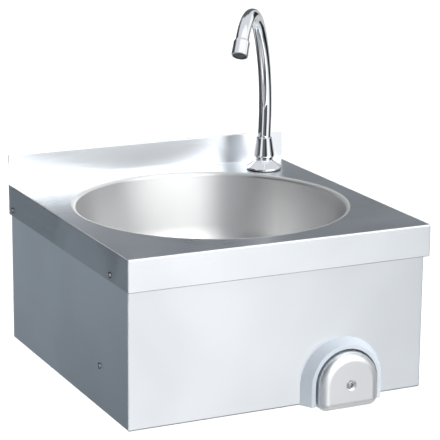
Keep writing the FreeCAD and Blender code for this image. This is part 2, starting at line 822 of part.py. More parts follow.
def side_fasteners():
    """The screws in the fascia and the skirt, and the flanged nuts set in the skirt."""
    fascia, rail = side_spots()
    half = "deck_width / 2"
    screws, nuts, rail_screws = [], [], []
    for i, (side, setback, z) in enumerate(fascia):
        head = across(f"side_head_{i}", side, "screw_head_radius", f"{half} + screw_head_height",
                      "screw_head_height", setback, z)
        shank = across(f"side_shank_{i}", side, "screw_radius", half, "screw_length", setback, z)
        screws.append(joined(f"side_screw_{i}", [head, shank]))
        flange = across(f"nut_flange_{i}", side, "nut_flange_radius", "casing_half + nut_flange_height",
                        "nut_flange_height", setback, z)
        barrel = across(f"nut_barrel_{i}", side, "nut_barrel_radius", "casing_half", "nut_length", setback, z)
        thread = across(f"nut_thread_{i}", side, "screw_radius + thread_clearance", f"{half} + overcut",
                        "nut_length + casing_side_inset + 2 * overcut", setback, z)
        nuts.append(cut(f"rivet_nut_{i}", joined(f"nut_blank_{i}", [flange, barrel]), [thread]))
    for i, (side, setback, z) in enumerate(rail):
        head = across(f"rail_head_{i}", side, "screw_head_radius", "casing_half + screw_head_height",
                      "screw_head_height", setback, z)
        shank = across(f"rail_shank_{i}", side, "screw_radius", "casing_half", "screw_length", setback, z)
        rail_screws.append(joined(f"rail_screw_{i}", [head, shank]))
    node(group("side_screw_group", screws), "side_screws")
    node(group("rivet_nut_group", nuts), "rivet_nuts")
    node(group("rail_screw_group", rail_screws), "rail_screws")


# ---------------------------------------------------------------- knee pad


def rounded_arch(name, radius, low, front, depth, edge_radius):
    """Make a solid arch block about the knee centre with a rounded front edge."""
    body = new_body(name)
    shape = arch(new_sketch(body, "XZ_Plane", front), radius, low, "knee_x", "knee_z")
    solid = pad(body, shape, depth, backwards=True)
    plane = -value(front)

    def front_edge(edge):
        return abs(edge.BoundBox.YMin - plane) < 1e-4 and abs(edge.BoundBox.YMax - plane) < 1e-4

    def lower_corner(edge):
        box = edge.BoundBox
        return box.YLength > 1 and box.ZLength < 1e-4 and abs(box.ZMin - value(low)) < 1e-4

    round_edges(body, solid, edge_radius, lambda edge: front_edge(edge) or lower_corner(edge))
    return body


def knee_pad():
    """The pressed cap that the knee pushes, with a dimple for its screw."""
    outer = rounded_arch("pad_outside", "pad_radius", "pad_low", "pad_front", "pad_depth", "pad_edge_radius")
    inner = rounded_arch("pad_inside", "pad_inner_radius", "pad_low + pad_sheet", "pad_front - pad_sheet",
                         "pad_depth", "pad_edge_radius - pad_sheet")
    place(outer)
    place(inner)
    mouth = rod("dimple_mouth", "dimple_radius", "pad_sheet + 2 * overcut", "knee_x",
                "-pad_front - overcut", "knee_z", "y")
    shell = cut("pad_shell", outer, [inner, mouth])
    dimple = turned("pad_dimple", [
        ("dimple_radius", "0"),
        ("dimple_radius - dimple_depth", "dimple_depth"),
        ("screw_hole", "dimple_depth"),
        ("screw_hole", "dimple_depth + pad_sheet"),
        ("dimple_radius - dimple_depth + pad_sheet / 2", "dimple_depth + pad_sheet"),
        ("dimple_radius + pad_sheet", "pad_sheet"),
        ("dimple_radius", "pad_sheet"),
    ], "knee_x", "-pad_front", "knee_z", "y")
    return node(joined("pad_whole", [shell, dimple]), "knee_pad")


def pad_screw():
    """The pan-head screw in the middle of the pad."""
    return node(turned("pad_screw_body", [
        ("0", "0"), ("pad_screw_crown", "0"), ("pad_screw_head", "pad_screw_dome"),
        ("pad_screw_head", "dimple_depth"), ("pad_screw_radius", "dimple_depth"),
        ("pad_screw_radius", "pad_screw_length"), ("0", "pad_screw_length"),
    ], "knee_x", "-pad_front", "knee_z", "y"), "pad_screw")


def knee_surround():
    """The raised arch round the knee pad, drafted outside and open below."""
    body = new_body("surround")
    wide = arch(new_sketch(body, "XZ_Plane", "casing_front"), "flare_radius", "body_low", "knee_x",
                "knee_z - surround_base_drop")
    narrow = arch(new_sketch(body, "XZ_Plane", "casing_front + surround_depth"), "ring_radius", "body_low",
                  "knee_x", "knee_z")
    loft = body.newObject("PartDesign::AdditiveLoft", "surround_loft")
    loft.Profile = wide
    loft.Sections = [narrow]
    loft.Ruled = True
    doc.recompute()
    plane = -value("casing_front + surround_depth")
    low = value("body_low")

    def front_edge(edge):
        box = edge.BoundBox
        at_front = abs(box.YMin - plane) < 1e-4 and abs(box.YMax - plane) < 1e-4
        return at_front and box.ZMax > low + 1

    round_edges(body, loft, "surround_edge", front_edge)
    opening = arch(new_sketch(body, "XZ_Plane", "casing_front - overcut"), "opening_radius",
                   "body_low - overcut", "knee_x", "knee_z")
    pocket(body, opening, "surround_depth + 2 * overcut", backwards=True)
    holes = [rod(f"surround_hole_{i}", "surround_screw_radius + thread_clearance",
                 "surround_screw_bite + 2 * overcut", x, "-casing_front - surround_screw_bite - overcut",
                 z, "y") for i, (x, z) in enumerate(surround_spots())]
    node(cut("surround_cut", body, holes), "knee_surround")
    screws = []
    for i, (x, z) in enumerate(surround_spots()):
        shank = rod(f"knee_shank_{i}", "surround_screw_radius", "surround_screw_bite + sheet", x,
                    "-casing_front - surround_screw_bite", z, "y")
        head = rod(f"knee_head_{i}", "surround_screw_head", "screw_head_height", x,
                   "sheet - casing_front", z, "y")
        screws.append(joined(f"knee_screw_{i}", [shank, head]))
    node(group("surround_screw_group", screws), "surround_screws")


def push_rod():
    """The rod that the pad is screwed to, with its flange in front."""
    body = turned("push_rod_body", [
        ("0", "0"), ("rod_flange_radius", "0", "edge_soft"), ("rod_flange_radius", "rod_flange_height"),
        ("rod_radius", "rod_flange_height"), ("rod_radius", "dimple_back - rod_back"),
        ("0", "dimple_back - rod_back"),
    ], "knee_x", "-dimple_back", "knee_z", "y")
    tapping = rod("rod_tapping", "pad_screw_radius + thread_clearance", "pad_screw_length", "knee_x",
                  "-dimple_back - overcut", "knee_z", "y")
    return node(cut("push_rod_cut", body, [tapping]), "push_rod")


def return_spring():
    """The open coil spring between the bonnet and the rod's flange."""
    helix = doc.addObject("Part::Helix", "spring_line")
    bind(helix, Radius="spring_radius", Height="spring_height", Pitch="spring_height / spring_turns")
    section = doc.addObject("Part::Circle", "spring_section")
    bind(section, Radius="spring_wire / 2")
    section.Placement.Rotation = FreeCAD.Rotation(FreeCAD.Vector(1, 0, 0), 90)
    bind(section, Placement__Base__x="spring_radius")
    sweep = doc.addObject("Part::Sweep", "spring_sweep")
    sweep.Sections = [section]
    sweep.Spine = (helix, [])
    sweep.Solid = True
    sweep.Frenet = True
    place(sweep, "knee_x", "-spring_front + spring_wire / 2", "knee_z", "y")
    return node(sweep, "return_spring")


# ---------------------------------------------------------------- valve and inlets


def valve_rail():
    """The cross rail: a plate with a flange above, an ear at each end and a tab for the valve."""
    body = new_body("rail_sheet_body")
    half = "casing_inner_half"
    top = "rail_screw_z + rail_height / 2"
    low = "rail_screw_z - rail_height / 2"
    face = outline(new_sketch(body, "XZ_Plane", "rail_setback"), [
        (f"-{half}", low), ("knee_x - rail_tab_half", low),
        ("knee_x - rail_tab_half", "deck_top - rail_tab_drop"),
        ("knee_x + rail_tab_half", "deck_top - rail_tab_drop"), ("knee_x + rail_tab_half", low),
        (half, low), (half, top), (f"-{half}", top),
    ])
    pad(body, face, "rail_sheet")
    flange = rectangle(new_sketch(body, "XY_Plane", top), f"-{half}", half, "-rail_setback - rail_sheet",
                       "rail_flange - rail_setback")
    pad(body, flange, "rail_sheet", backwards=True)
    for side in (-1, 1):
        ear = rectangle(new_sketch(body, "YZ_Plane", f"{side} * ({half} - rail_sheet / 2) - rail_sheet / 2"),
                        "-rail_setback - rail_sheet", "rail_ear_reach - rail_screw_setback", low, top)
        pad(body, ear, "rail_sheet")
    tools = [across(f"rail_hole_{i}", side, "screw_radius + thread_clearance", "casing_half + overcut",
                    "sheet + rail_sheet + 2 * overcut", setback, z)
             for i, (side, setback, z) in enumerate(side_spots()[1])]
    tools.append(rod("rail_neck_hole", "valve_neck_radius + screw_clearance", "rail_sheet + 2 * overcut",
                     "knee_x", "-rail_setback - rail_sheet - overcut", "knee_z", "y"))
    return node(cut("rail_cut", body, tools), "valve_rail")


def valve():
    """The cast valve body with its bonnet, locknut, piston and seal, along the push rod."""
    shell = turned("valve_shell", [
        ("0", "-neck_front"), ("valve_neck_radius", "-neck_front"),
        ("valve_neck_radius", "-rail_setback"), ("valve_radius", "-rail_setback", "edge_round"),
        ("valve_radius", "-valve_rear", "valve_shoulder"), ("half_inch_radius", "-valve_rear"),
        ("half_inch_radius", "-outlet_rear"), ("0", "-outlet_rear"),
    ], "knee_x", "0", "knee_z", "y")
    port = rod("valve_port", "port_radius", "valve_radius + port_reach", "port_x", "-port_setback", "knee_z",
               "x")
    blank = joined("valve_blank", [shell, port])
    chamber = rod("valve_chamber", "valve_bore", "valve_bore_depth + overcut", "knee_x",
                  "-neck_front - overcut", "knee_z", "y")
    outlet = rod("valve_outlet", "water_way", "neck_front - outlet_rear + 2 * overcut", "knee_x",
                 "-neck_front - overcut", "knee_z", "y")
    feed = rod("valve_feed", "water_way", "valve_radius + port_reach + overcut", "port_x - overcut",
               "-port_setback", "knee_z", "x")
    node(cut("valve_cut", blank, [chamber, outlet, feed]), "valve_body")

    plug = rod("bonnet_plug_rod", "valve_bore - thread_clearance", "bonnet_plug", "knee_x", "-neck_front",
               "knee_z", "y")
    head = hexagon("bonnet_head_hex", "bonnet_hex", "bonnet_head", "knee_x", "-bonnet_front", "knee_z", "y")
    way = rod("bonnet_way", "rod_hole", "bonnet_plug + bonnet_head + 2 * overcut", "knee_x",
              "-bonnet_front - overcut", "knee_z", "y")
    node(cut("bonnet_cut", joined("bonnet_blank", [plug, head]), [way]), "valve_bonnet")

    nut = hexagon("locknut_hexagon", "locknut_hex", "locknut_height", "knee_x",
                  "-rail_setback - rail_sheet - locknut_height", "knee_z", "y")
    bore = rod("locknut_bore", "valve_neck_radius + thread_clearance", "locknut_height + 2 * overcut",
               "knee_x", "-rail_setback - rail_sheet - locknut_height - overcut", "knee_z", "y")
    node(cut("locknut_cut", nut, [bore]), "valve_locknut")

    node(turned("piston", [
        ("0", "0"), ("valve_bore - 2 * rod_clearance", "0"),
        ("valve_bore - 2 * rod_clearance", "(piston_length - seal_groove) / 2"),
        ("valve_bore - seal_groove", "(piston_length - seal_groove) / 2"),
        ("valve_bore - seal_groove", "(piston_length + seal_groove) / 2"),
        ("valve_bore - 2 * rod_clearance", "(piston_length + seal_groove) / 2"),
        ("valve_bore - 2 * rod_clearance", "piston_length"), ("0", "piston_length"),
    ], "knee_x", "-rod_back", "knee_z", "y"), "valve_piston")
    seal = ring("seal_ring", "valve_bore - seal_wire - rod_clearance", "seal_wire - rod_clearance / 2",
                "knee_x", "piston_length / 2 - rod_back", "knee_z", "y")
    node(seal, "piston_seal")


def inlets():
    """The manifold screwed to the valve's side port and the two check valves that face the wall."""
    bar = rod("manifold_bar", "manifold_radius", "manifold_length", "manifold_low", "-port_setback", "knee_z",
              "x")
    way = rod("manifold_way", "water_way", "manifold_length - manifold_end + overcut",
              "manifold_low + manifold_end", "-port_setback", "knee_z", "x")
    drillings, valves = [], []
    for i, x in enumerate(("hot_inlet_x", "cold_inlet_x")):
        drillings.append(rod(f"inlet_way_{i}", "water_way", "manifold_radius + overcut", x, "-port_setback",
                             "knee_z", "y"))
        flats = hexagon(f"check_hexagon_{i}", "check_hex", "check_hex_length", x, "check_base - port_setback",
                        "knee_z", "y")
        body = turned(f"check_turned_{i}", [
            ("0", "0"), ("check_neck_radius", "0"), ("check_neck_radius", "check_base"),
            ("half_inch_radius", "check_base"), ("half_inch_radius", "check_reach", "edge_soft"),
            ("0", "check_reach"),
        ], x, "-port_setback", "knee_z", "y")
        bore = rod(f"check_bore_{i}", "water_way", "check_reach + 2 * overcut", x, "-port_setback - overcut",
                   "knee_z", "y")
        tube = cut(f"check_tube_{i}", joined(f"check_blank_{i}", [flats, body]), [bore])
        seat = rod(f"check_seat_{i}", "manifold_radius", "manifold_length", "manifold_low", "-port_setback",
                   "knee_z", "x")
        valves.append(cut(f"check_valve_{i}", tube, [seat]))
    node(cut("manifold_cut", bar, [way] + drillings), "inlet_manifold")
    node(group("check_valve_group", valves), "check_valves")


# ---------------------------------------------------------------- tap


def tap():
    """The fixed part of the tap: gasket, base, seals, tapered nut and what clamps it from below."""
    node(turned("tap_gasket_ring", [
        ("half_inch_radius + screw_clearance", "deck_top"), ("tap_gasket_radius", "deck_top"),
        ("tap_gasket_radius", "tap_foot"), ("half_inch_radius + screw_clearance", "tap_foot"),
    ], "tap_x", "-tap_setback"), "tap_gasket")
    blank = turned("tap_base_turned", [
        ("tap_way", "tap_shank_low"), ("half_inch_radius", "tap_shank_low", "edge_soft"),
        ("half_inch_radius", "tap_foot"), ("tap_base_radius", "tap_foot", "edge_fine"),
        ("tap_base_radius", "tap_foot + tap_base_rim", "edge_soft"),
        ("tap_base_top_radius", "tap_shoulder - tap_base_neck", "tap_base_sweep"),
        ("tap_base_top_radius", "tap_shoulder"),
        ("tap_boss_radius", "tap_shoulder"), ("tap_boss_radius", "tap_boss_top"),
        ("socket_radius", "tap_boss_top"), ("socket_radius", "socket_low"), ("tap_way", "socket_low"),
    ], "tap_x", "-tap_setback")
    grooves = []
    seals = []
    for i, height in enumerate(("swivel_low_seal", "swivel_high_seal")):
        level = f"socket_low + {height}"
        grooves.append(rod(f"seal_groove_{i}", "socket_radius + 2 * swivel_wire", "swivel_groove", "tap_x",
                           "-tap_setback", f"{level} - swivel_groove / 2"))
        seals.append(ring(f"swivel_oring_{i}", "socket_radius + swivel_wire", "swivel_wire", "tap_x",
                          "-tap_setback", level))
    node(cut("tap_base_cut", blank, grooves), "tap_base")
    node(group("swivel_oring_group", seals), "swivel_orings")

    node(turned("spout_nut_turned", [
        ("nut_bore", "spout_nut_low"), ("tap_base_top_radius", "spout_nut_low"),
        ("spout_nut_low_radius", "spout_nut_low + spout_nut_foot", "spout_nut_roll"),
        ("spout_nut_top_radius", "spout_nut_top", "edge_fine"),
        ("socket_radius", "spout_nut_top"), ("socket_radius", "nut_shoulder"), ("nut_bore", "nut_shoulder"),
    ], "tap_x", "-tap_setback"), "spout_nut")

    washer_low = "deck_under - tap_washer_height"
    washer = rod("tap_washer_disc", "tap_washer_radius", "tap_washer_height", "tap_x", "-tap_setback",
                 washer_low)
    washer_bore = rod("tap_washer_bore", "half_inch_radius + screw_clearance",
                      "tap_washer_height + 2 * overcut", "tap_x", "-tap_setback", f"{washer_low} - overcut")
    node(cut("tap_washer_cut", washer, [washer_bore]), "tap_washer")
    nut_low = f"{washer_low} - tap_backnut_height"
    nut = hexagon("tap_backnut_hexagon", "tap_backnut_hex", "tap_backnut_height", "tap_x", "-tap_setback",
                  nut_low)
    nut_bore = rod("tap_backnut_bore", "half_inch_radius + thread_clearance",
                   "tap_backnut_height + 2 * overcut", "tap_x", "-tap_setback", f"{nut_low} - overcut")
    node(cut("tap_backnut_cut", nut, [nut_bore]), "tap_backnut")


def spout():
    """The swan-neck tube with its bead, and the aerator on its end."""
    body = new_body("spout_body")
    joints = [("0", "spout_low"), ("0", "bend_z"), ("lean_out", "lean_z"), ("sweep_out", "sweep_z"),
              ("crook_out", "crook_z"), ("mouth_out", "mouth_z")]
    spots = [FreeCAD.Vector(value(x), value(z), 0) for x, z in joints]
    path = new_sketch(body, "XZ_Plane")
    bends = {1: ("spout_lean_radius", -1), 2: ("spout_sweep_radius", 1), 3: ("spout_crook_radius", 1)}
    rules = []
    ends = {}
    for i in range(5):
        if i not in bends:
            path.addGeometry(Part.LineSegment(spots[i], spots[i + 1]), False)
            ends[i] = (1, 2)
            continue
        radius, side = bends[i]
        before = spots[i] - spots[i - 1] if i == 1 else along
        along = before.normalize() if i == 1 else before
        inward = FreeCAD.Vector(along.y, -along.x, 0) * side
        centre = spots[i] + inward * value(radius)
        start = math.atan2(spots[i].y - centre.y, spots[i].x - centre.x)
        stop = math.atan2(spots[i + 1].y - centre.y, spots[i + 1].x - centre.x)
        angles = (stop, start) if side == 1 else (start, stop)
        bend = Part.Circle(centre, FreeCAD.Vector(0, 0, 1), value(radius))
        path.addGeometry(Part.ArcOfCircle(bend, *angles), False)
        ends[i] = (2, 1) if side == 1 else (1, 2)
        rules.append((Sketcher.Constraint("Radius", i, value(radius)), radius))
        spoke = (spots[i + 1] - centre).normalize()
        along = FreeCAD.Vector(spoke.y, -spoke.x, 0) * side
    for i in range(5):
        rules += pinned(i, ends[i][0], *joints[i])
        if i < 4:
            rules.append((Sketcher.Constraint("Coincident", i, ends[i][1], i + 1, ends[i + 1][0]), None))
    rules += pinned(4, ends[4][1], *joints[5])
    constrain(path, rules)
    section = new_sketch(body, "XY_Plane", "spout_low")
    circle(section, "spout_radius")
    circle(section, "spout_radius - spout_wall")
    tube = body.newObject("PartDesign::AdditivePipe", "spout_pipe")
    tube.Profile = section
    tube.Spine = (path, [f"Edge{i + 1}" for i in range(5)])
    doc.recompute()
    bead = new_sketch(body, "XY_Plane", "bead_low")
    circle(bead, "spout_radius + spout_bead")
    circle(bead, "spout_radius - spout_wall / 2")
    pad(body, bead, "spout_bead_height")
    place(body, "tap_x", "-tap_setback")
    bind(body, Placement__Rotation__Angle="tap_turn")
    node(body, "spout_tube")

    x = "tap_x - mouth_out * sin(spout_heading)"
    y = "-tap_setback - mouth_out * cos(spout_heading)"

    def at_mouth(item):
        """Stand a turned piece on the spout's end, its own Z pointing out of the mouth."""
        place(item, x, y, "mouth_z")
        heading = FreeCAD.Rotation(FreeCAD.Vector(0, 0, 1), value("tap_turn"))
        tip = FreeCAD.Rotation(FreeCAD.Vector(0, 1, 0), value("crook_end"))
        item.Placement.Rotation = heading.multiply(tip)
        return item

    gap = "thread_clearance"
    face = "aerator_length - aerator_overlap"
    seat = f"aerator_washer_height + {gap}"
    node(at_mouth(turned("aerator_shell_turned", [
        (f"spout_radius + {gap}", "-aerator_overlap"), ("aerator_collar", "-aerator_overlap"),
        ("aerator_radius - aerator_taper", "aerator_shoulder - aerator_overlap", "edge_round"),
        ("aerator_radius", face, "edge_fine"), ("aerator_radius - aerator_wall", face),
        ("aerator_radius - aerator_wall", seat), (f"spout_radius + {gap}", seat),
    ])), "aerator_shell")
    node(at_mouth(turned("aerator_washer_turned", [
        ("spout_radius - 2 * spout_wall", "0"), ("spout_radius", "0"),
        ("spout_radius", "aerator_washer_height"), ("spout_radius - 2 * spout_wall", "aerator_washer_height"),
    ])), "aerator_washer")
    insert_radius = f"aerator_radius - aerator_wall - {gap}"
    screen = f"{face} - screen_recess"
    rim = f"{screen} + screen_step"
    node(at_mouth(turned("aerator_insert_turned", [
        ("0", seat), (insert_radius, seat), (insert_radius, rim), ("screen_radius", rim),
        ("screen_radius", screen), ("0", screen),
    ])), "aerator_insert")


# ---------------------------------------------------------------- pipe from the valve to the tap


def rounded_path(points, radii):
    """Return a wire of straight runs through points, joined by tangent arcs of the given radii."""
    edges = []
    start = points[0]
    for before, corner, after, radius in zip(points, points[1:], points[2:], radii):
        back = (before - corner).normalize()
        ahead = (after - corner).normalize()
        half = back.getAngle(ahead) / 2
        first = corner + back * (radius / math.tan(half))
        last = corner + ahead * (radius / math.tan(half))
        centre = corner + (back + ahead).normalize() * (radius / math.sin(half))
        middle = centre + (corner - centre).normalize() * radius
        edges.append(Part.LineSegment(start, first).toShape())
        edges.append(Part.Arc(first, middle, last).toShape())
        start = last
    edges.append(Part.LineSegment(start, points[-1]).toShape())
    return Part.Wire(edges)


def feed_pipe():
    """The bent pipe from the valve's outlet up to the tap."""
    knee_x, knee_z = value("knee_x"), value("knee_z")
    tap_x, tap_y = value("tap_x"), -value("tap_setback")
    front = -value("pipe_front")
    points = [
        FreeCAD.Vector(knee_x, front, knee_z),
        FreeCAD.Vector(knee_x, front + value("pipe_bend / 2"), knee_z),
        FreeCAD.Vector(tap_x, tap_y - value("pipe_low_bend * 1.25"), knee_z),
        FreeCAD.Vector(tap_x, tap_y, knee_z),
        FreeCAD.Vector(tap_x, tap_y, value("pipe_top")),
    ]
    bends = [value("pipe_bend"), value("pipe_bend"), value("pipe_low_bend")]
    path = rounded_path(points, bends)
    heading = FreeCAD.Vector(0, 1, 0)
    sections = [Part.Wire(Part.Circle(points[0], heading, r).toShape())
                for r in (value("pipe_radius"), value("pipe_radius - pipe_wall"))]
    outer, inner = [path.makePipeShell([section], True, False) for section in sections]
    tube = doc.addObject("Part::Feature", "pipe_tube")
    tube.Shape = outer.cut(inner)
    node(tube, "feed_pipe")


def unions():
    """The union nut and the tail soldered to the pipe, at the tap and at the valve."""
    nuts, tails = [], []
    spots = (("tap", "tap_x", "-tap_setback", "z", "tap_shank_low", 1),
             ("valve", "knee_x", "knee_z", "y", "-outlet_rear", -1))
    for name, x, other, axis, face, ahead in spots:

        def drum(kind, make, size, low, high):
            """Make a round or hexagonal piece between two distances from the thread's end face."""
            start = f"{face} + ({low})" if ahead == 1 else f"{face} - ({high})"
            y, z = (other, start) if axis == "z" else (start, other)
            return make(f"{kind}_{name}", size, f"({high}) - ({low})", x, y, z, axis)

        tail = drum("tail", rod, "tail_radius", "-tail_length", "0")
        way = drum("tail_way", rod, "pipe_radius - pipe_wall", "-tail_length - overcut", "overcut")
        nut = drum("union_nut", hexagon, "union_hex", "-union_skirt", "union_height - union_skirt")
        thread = drum("union_thread", rod, "half_inch_radius + thread_clearance", "0", "union_height")
        sleeve = drum("union_sleeve", rod, "tail_radius + thread_clearance", "-union_skirt - overcut",
                      "overcut")
        tails.append(cut(f"union_tail_cut_{name}", tail, [way]))
        nuts.append(cut(f"union_nut_cut_{name}", nut, [thread, sleeve]))
    node(group("union_nut_group", nuts), "union_nuts")
    node(group("union_tail_group", tails), "union_tails")


# ---------------------------------------------------------------- waste


def waste():
    """The strainer waste: grid, screw, two gaskets and the body with its bridge and threaded tail."""
    y = "-bowl_setback"
    body = new_body("waste_grid_body")
    revolve(body, [
        ("0", "bowl_floor"), ("0", "bowl_floor - waste_grid_sheet"),
        ("waste_grid_crown_under", "bowl_floor - waste_grid_sheet"),
        ("waste_grid_foot", "grid_low"), ("waste_grid_radius", "grid_low", "edge_fine"),
        ("waste_grid_radius", "grid_low + waste_grid_sheet", "edge_fine"),
        ("waste_grid_foot", "grid_low + waste_grid_sheet"), ("waste_grid_crown", "bowl_floor"),
    ], "0", y, "0")
    for radius, count, size in (("waste_ring_radius", "waste_ring_count", "waste_slot_radius"),
                                ("waste_inner_ring_radius", "waste_inner_count", "waste_slot_radius")):
        sketch = circle(new_sketch(body, "XY_Plane", "bowl_floor + overcut"), size, radius)
        hole = pocket(body, sketch, "waste_grid_sheet + 2 * overcut")
        pattern = body.newObject("PartDesign::PolarPattern", f"{radius}_pattern")
        pattern.Originals = [hole]
        pattern.Axis = (sketch, ["N_Axis"])
        pattern.Angle = 360
        bind(pattern, Occurrences=count)
        body.Tip = pattern
        doc.recompute()
    screw_way = circle(new_sketch(body, "XY_Plane", "bowl_floor + overcut"),
                       "waste_screw_radius + screw_clearance")
    pocket(body, screw_way, "waste_grid_sheet + 2 * overcut")
    node(body, "waste_grid")
    node(turned("waste_screw_turned", [
        ("0", "bowl_floor + waste_screw_dome"),
        ("waste_screw_head", "bowl_floor + waste_screw_dome", "edge_round"),
        ("waste_screw_head", "bowl_floor"), ("waste_screw_radius", "bowl_floor"),
        ("waste_screw_radius", "bridge_low + waste_screw_stop"),
        ("0", "bridge_low + waste_screw_stop"),
    ], "0", y), "waste_screw")
    node(turned("waste_upper_ring", [
        ("waste_hole_radius + waste_gasket_inset", "bowl_recess_z"),
        ("waste_grid_radius - waste_gasket_inset", "bowl_recess_z"),
        ("waste_grid_radius - waste_gasket_inset", "grid_low"), ("waste_grid_foot", "grid_low"),
    ], "0", y), "waste_gasket_upper")
    node(turned("waste_lower_ring", [
        ("waste_hole_radius + waste_gasket_inset", "waste_flange_top"),
        ("bowl_recess_radius - waste_gasket_inset", "waste_flange_top"),
        ("bowl_recess_radius - waste_gasket_inset", "bowl_under"),
        ("waste_hole_radius + waste_gasket_inset", "bowl_under"),
    ], "0", y), "waste_gasket_lower")
    cup = turned("waste_cup", [
        ("waste_hole_radius", "waste_flange_top"), ("bowl_recess_radius", "waste_flange_top"),
        ("bowl_recess_radius", "waste_flange_low", "edge_soft"),
        ("waste_hole_radius + waste_cup_wall", "waste_flange_low", "edge_round"),
        ("waste_hole_radius + waste_cup_wall", "waste_cup_low + waste_cup_slope", "waste_cup_corner"),
        ("waste_tail_radius", "waste_cup_low"), ("waste_tail_radius", "waste_low", "edge_soft"),
        ("waste_tail_bore", "waste_low"), ("waste_tail_bore", "waste_cup_low + waste_cup_slope / 2"),
        ("waste_hole_radius", "waste_cup_low + 1.5 * waste_cup_slope"),
    ], "0", y)
    bridge = block("waste_bridge", "-waste_hole_radius - overcut", "-bowl_setback - waste_bridge_width / 2",
                   "bridge_low", "2 * (waste_hole_radius + overcut)", "waste_bridge_width",
                   "waste_bridge_height")
    tapping = rod("bridge_tapping", "waste_screw_radius + thread_clearance",
                  "waste_bridge_height + 2 * overcut", "0", y, "bridge_low - overcut")
    node(cut("waste_body_cut", joined("waste_body_blank", [cup, bridge]), [tapping]), "waste_body")


def write_parts():
    """Check every object and shape, then write one file for each node."""
    doc.recompute()
    for item in doc.Objects:
        if "Invalid" in item.State or "Error" in item.State:
            raise RuntimeError(f"{item.Name} failed: {item.State}")
    for item in nodes:
        if item.Shape.isNull() or not item.Shape.isValid() or not item.Shape.Solids:
            raise RuntimeError(f"{item.Label} has no sound solid")
    os.makedirs("parts", exist_ok=True)
    for item in nodes:
        item.Shape.exportStep(f"parts/{item.Label}.step")
        box = item.Shape.BoundBox
        print("%-20s %d  x %8.2f %8.2f  y %8.2f %8.2f  z %8.2f %8.2f" % (
            item.Label, len(item.Shape.Solids), box.XMin, box.XMax, box.YMin, box.YMax, box.ZMin, box.ZMax))


fill_sheet()
worktop()
basin_bowl()
casing()
wall_bracket()
side_fasteners()
knee_pad()
pad_screw()
knee_surround()
push_rod()
return_spring()
valve_rail()
valve()
inlets()
tap()
spout()
feed_pipe()
unions()
waste()
write_parts()
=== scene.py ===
"""Finishes, fine pieces, studio and camera for a wall-hung stainless steel hand wash sink.

Everything is in metres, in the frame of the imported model: +Z up, the wall at y = 0 and the sink in front
of it, towards -Y.
"""

from __future__ import annotations

import logging
import math
from collections.abc import Callable, Sequence
from dataclasses import dataclass
from enum import Enum

import bmesh
import bpy
from mathutils import Matrix, Vector


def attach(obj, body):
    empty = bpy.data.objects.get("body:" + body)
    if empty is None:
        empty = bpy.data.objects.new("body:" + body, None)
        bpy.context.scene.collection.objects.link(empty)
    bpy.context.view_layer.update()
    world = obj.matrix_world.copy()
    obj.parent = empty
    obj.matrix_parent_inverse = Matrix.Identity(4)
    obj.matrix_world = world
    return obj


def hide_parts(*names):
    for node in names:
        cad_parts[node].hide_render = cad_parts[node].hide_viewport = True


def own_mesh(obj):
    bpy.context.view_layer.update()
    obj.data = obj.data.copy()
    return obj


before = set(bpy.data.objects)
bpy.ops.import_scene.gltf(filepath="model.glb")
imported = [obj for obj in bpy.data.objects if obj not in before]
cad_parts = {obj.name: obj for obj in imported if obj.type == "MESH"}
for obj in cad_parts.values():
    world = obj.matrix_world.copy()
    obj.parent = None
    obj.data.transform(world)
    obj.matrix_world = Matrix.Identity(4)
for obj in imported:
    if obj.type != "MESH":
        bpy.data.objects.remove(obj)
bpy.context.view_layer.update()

LOG = logging.getLogger("hand_wash_sink")
MM = 0.001
FLOAT = "NodeSocketFloat"
VECTOR = "NodeSocketVector"
Triple = tuple[float, float, float]
Colour = Triple
Profile = Sequence[tuple[float, float]]
Node = bpy.types.Node
Socket = bpy.types.NodeSocket


class Body(str, Enum):
    """The rigid bodies that the pieces ride on."""

    SINK = "sink"
    KNEE = "knee_push"
    SPOUT = "spout"


class Axis(Enum):
    """Which way a turned piece's own +Z points in the frame."""

    UP = (0.0, 0.0, 1.0)
    TO_FRONT = (0.0, -1.0, 0.0)
    TO_LEFT = (-1.0, 0.0, 0.0)
    TO_RIGHT = (1.0, 0.0, 0.0)


class Shading(Enum):
    """How a piece's faces are shaded."""

    SMOOTH = "smooth"
    CREASED = "creased"


class Mixed(Enum):
    """What a Mix node mixes: its type, the number of its first input and the number of its output."""

    VECTOR = ("VECTOR", 4, 1)
    COLOUR = ("RGBA", 6, 2)


# ------------------------------------------------------------------ shader node groups


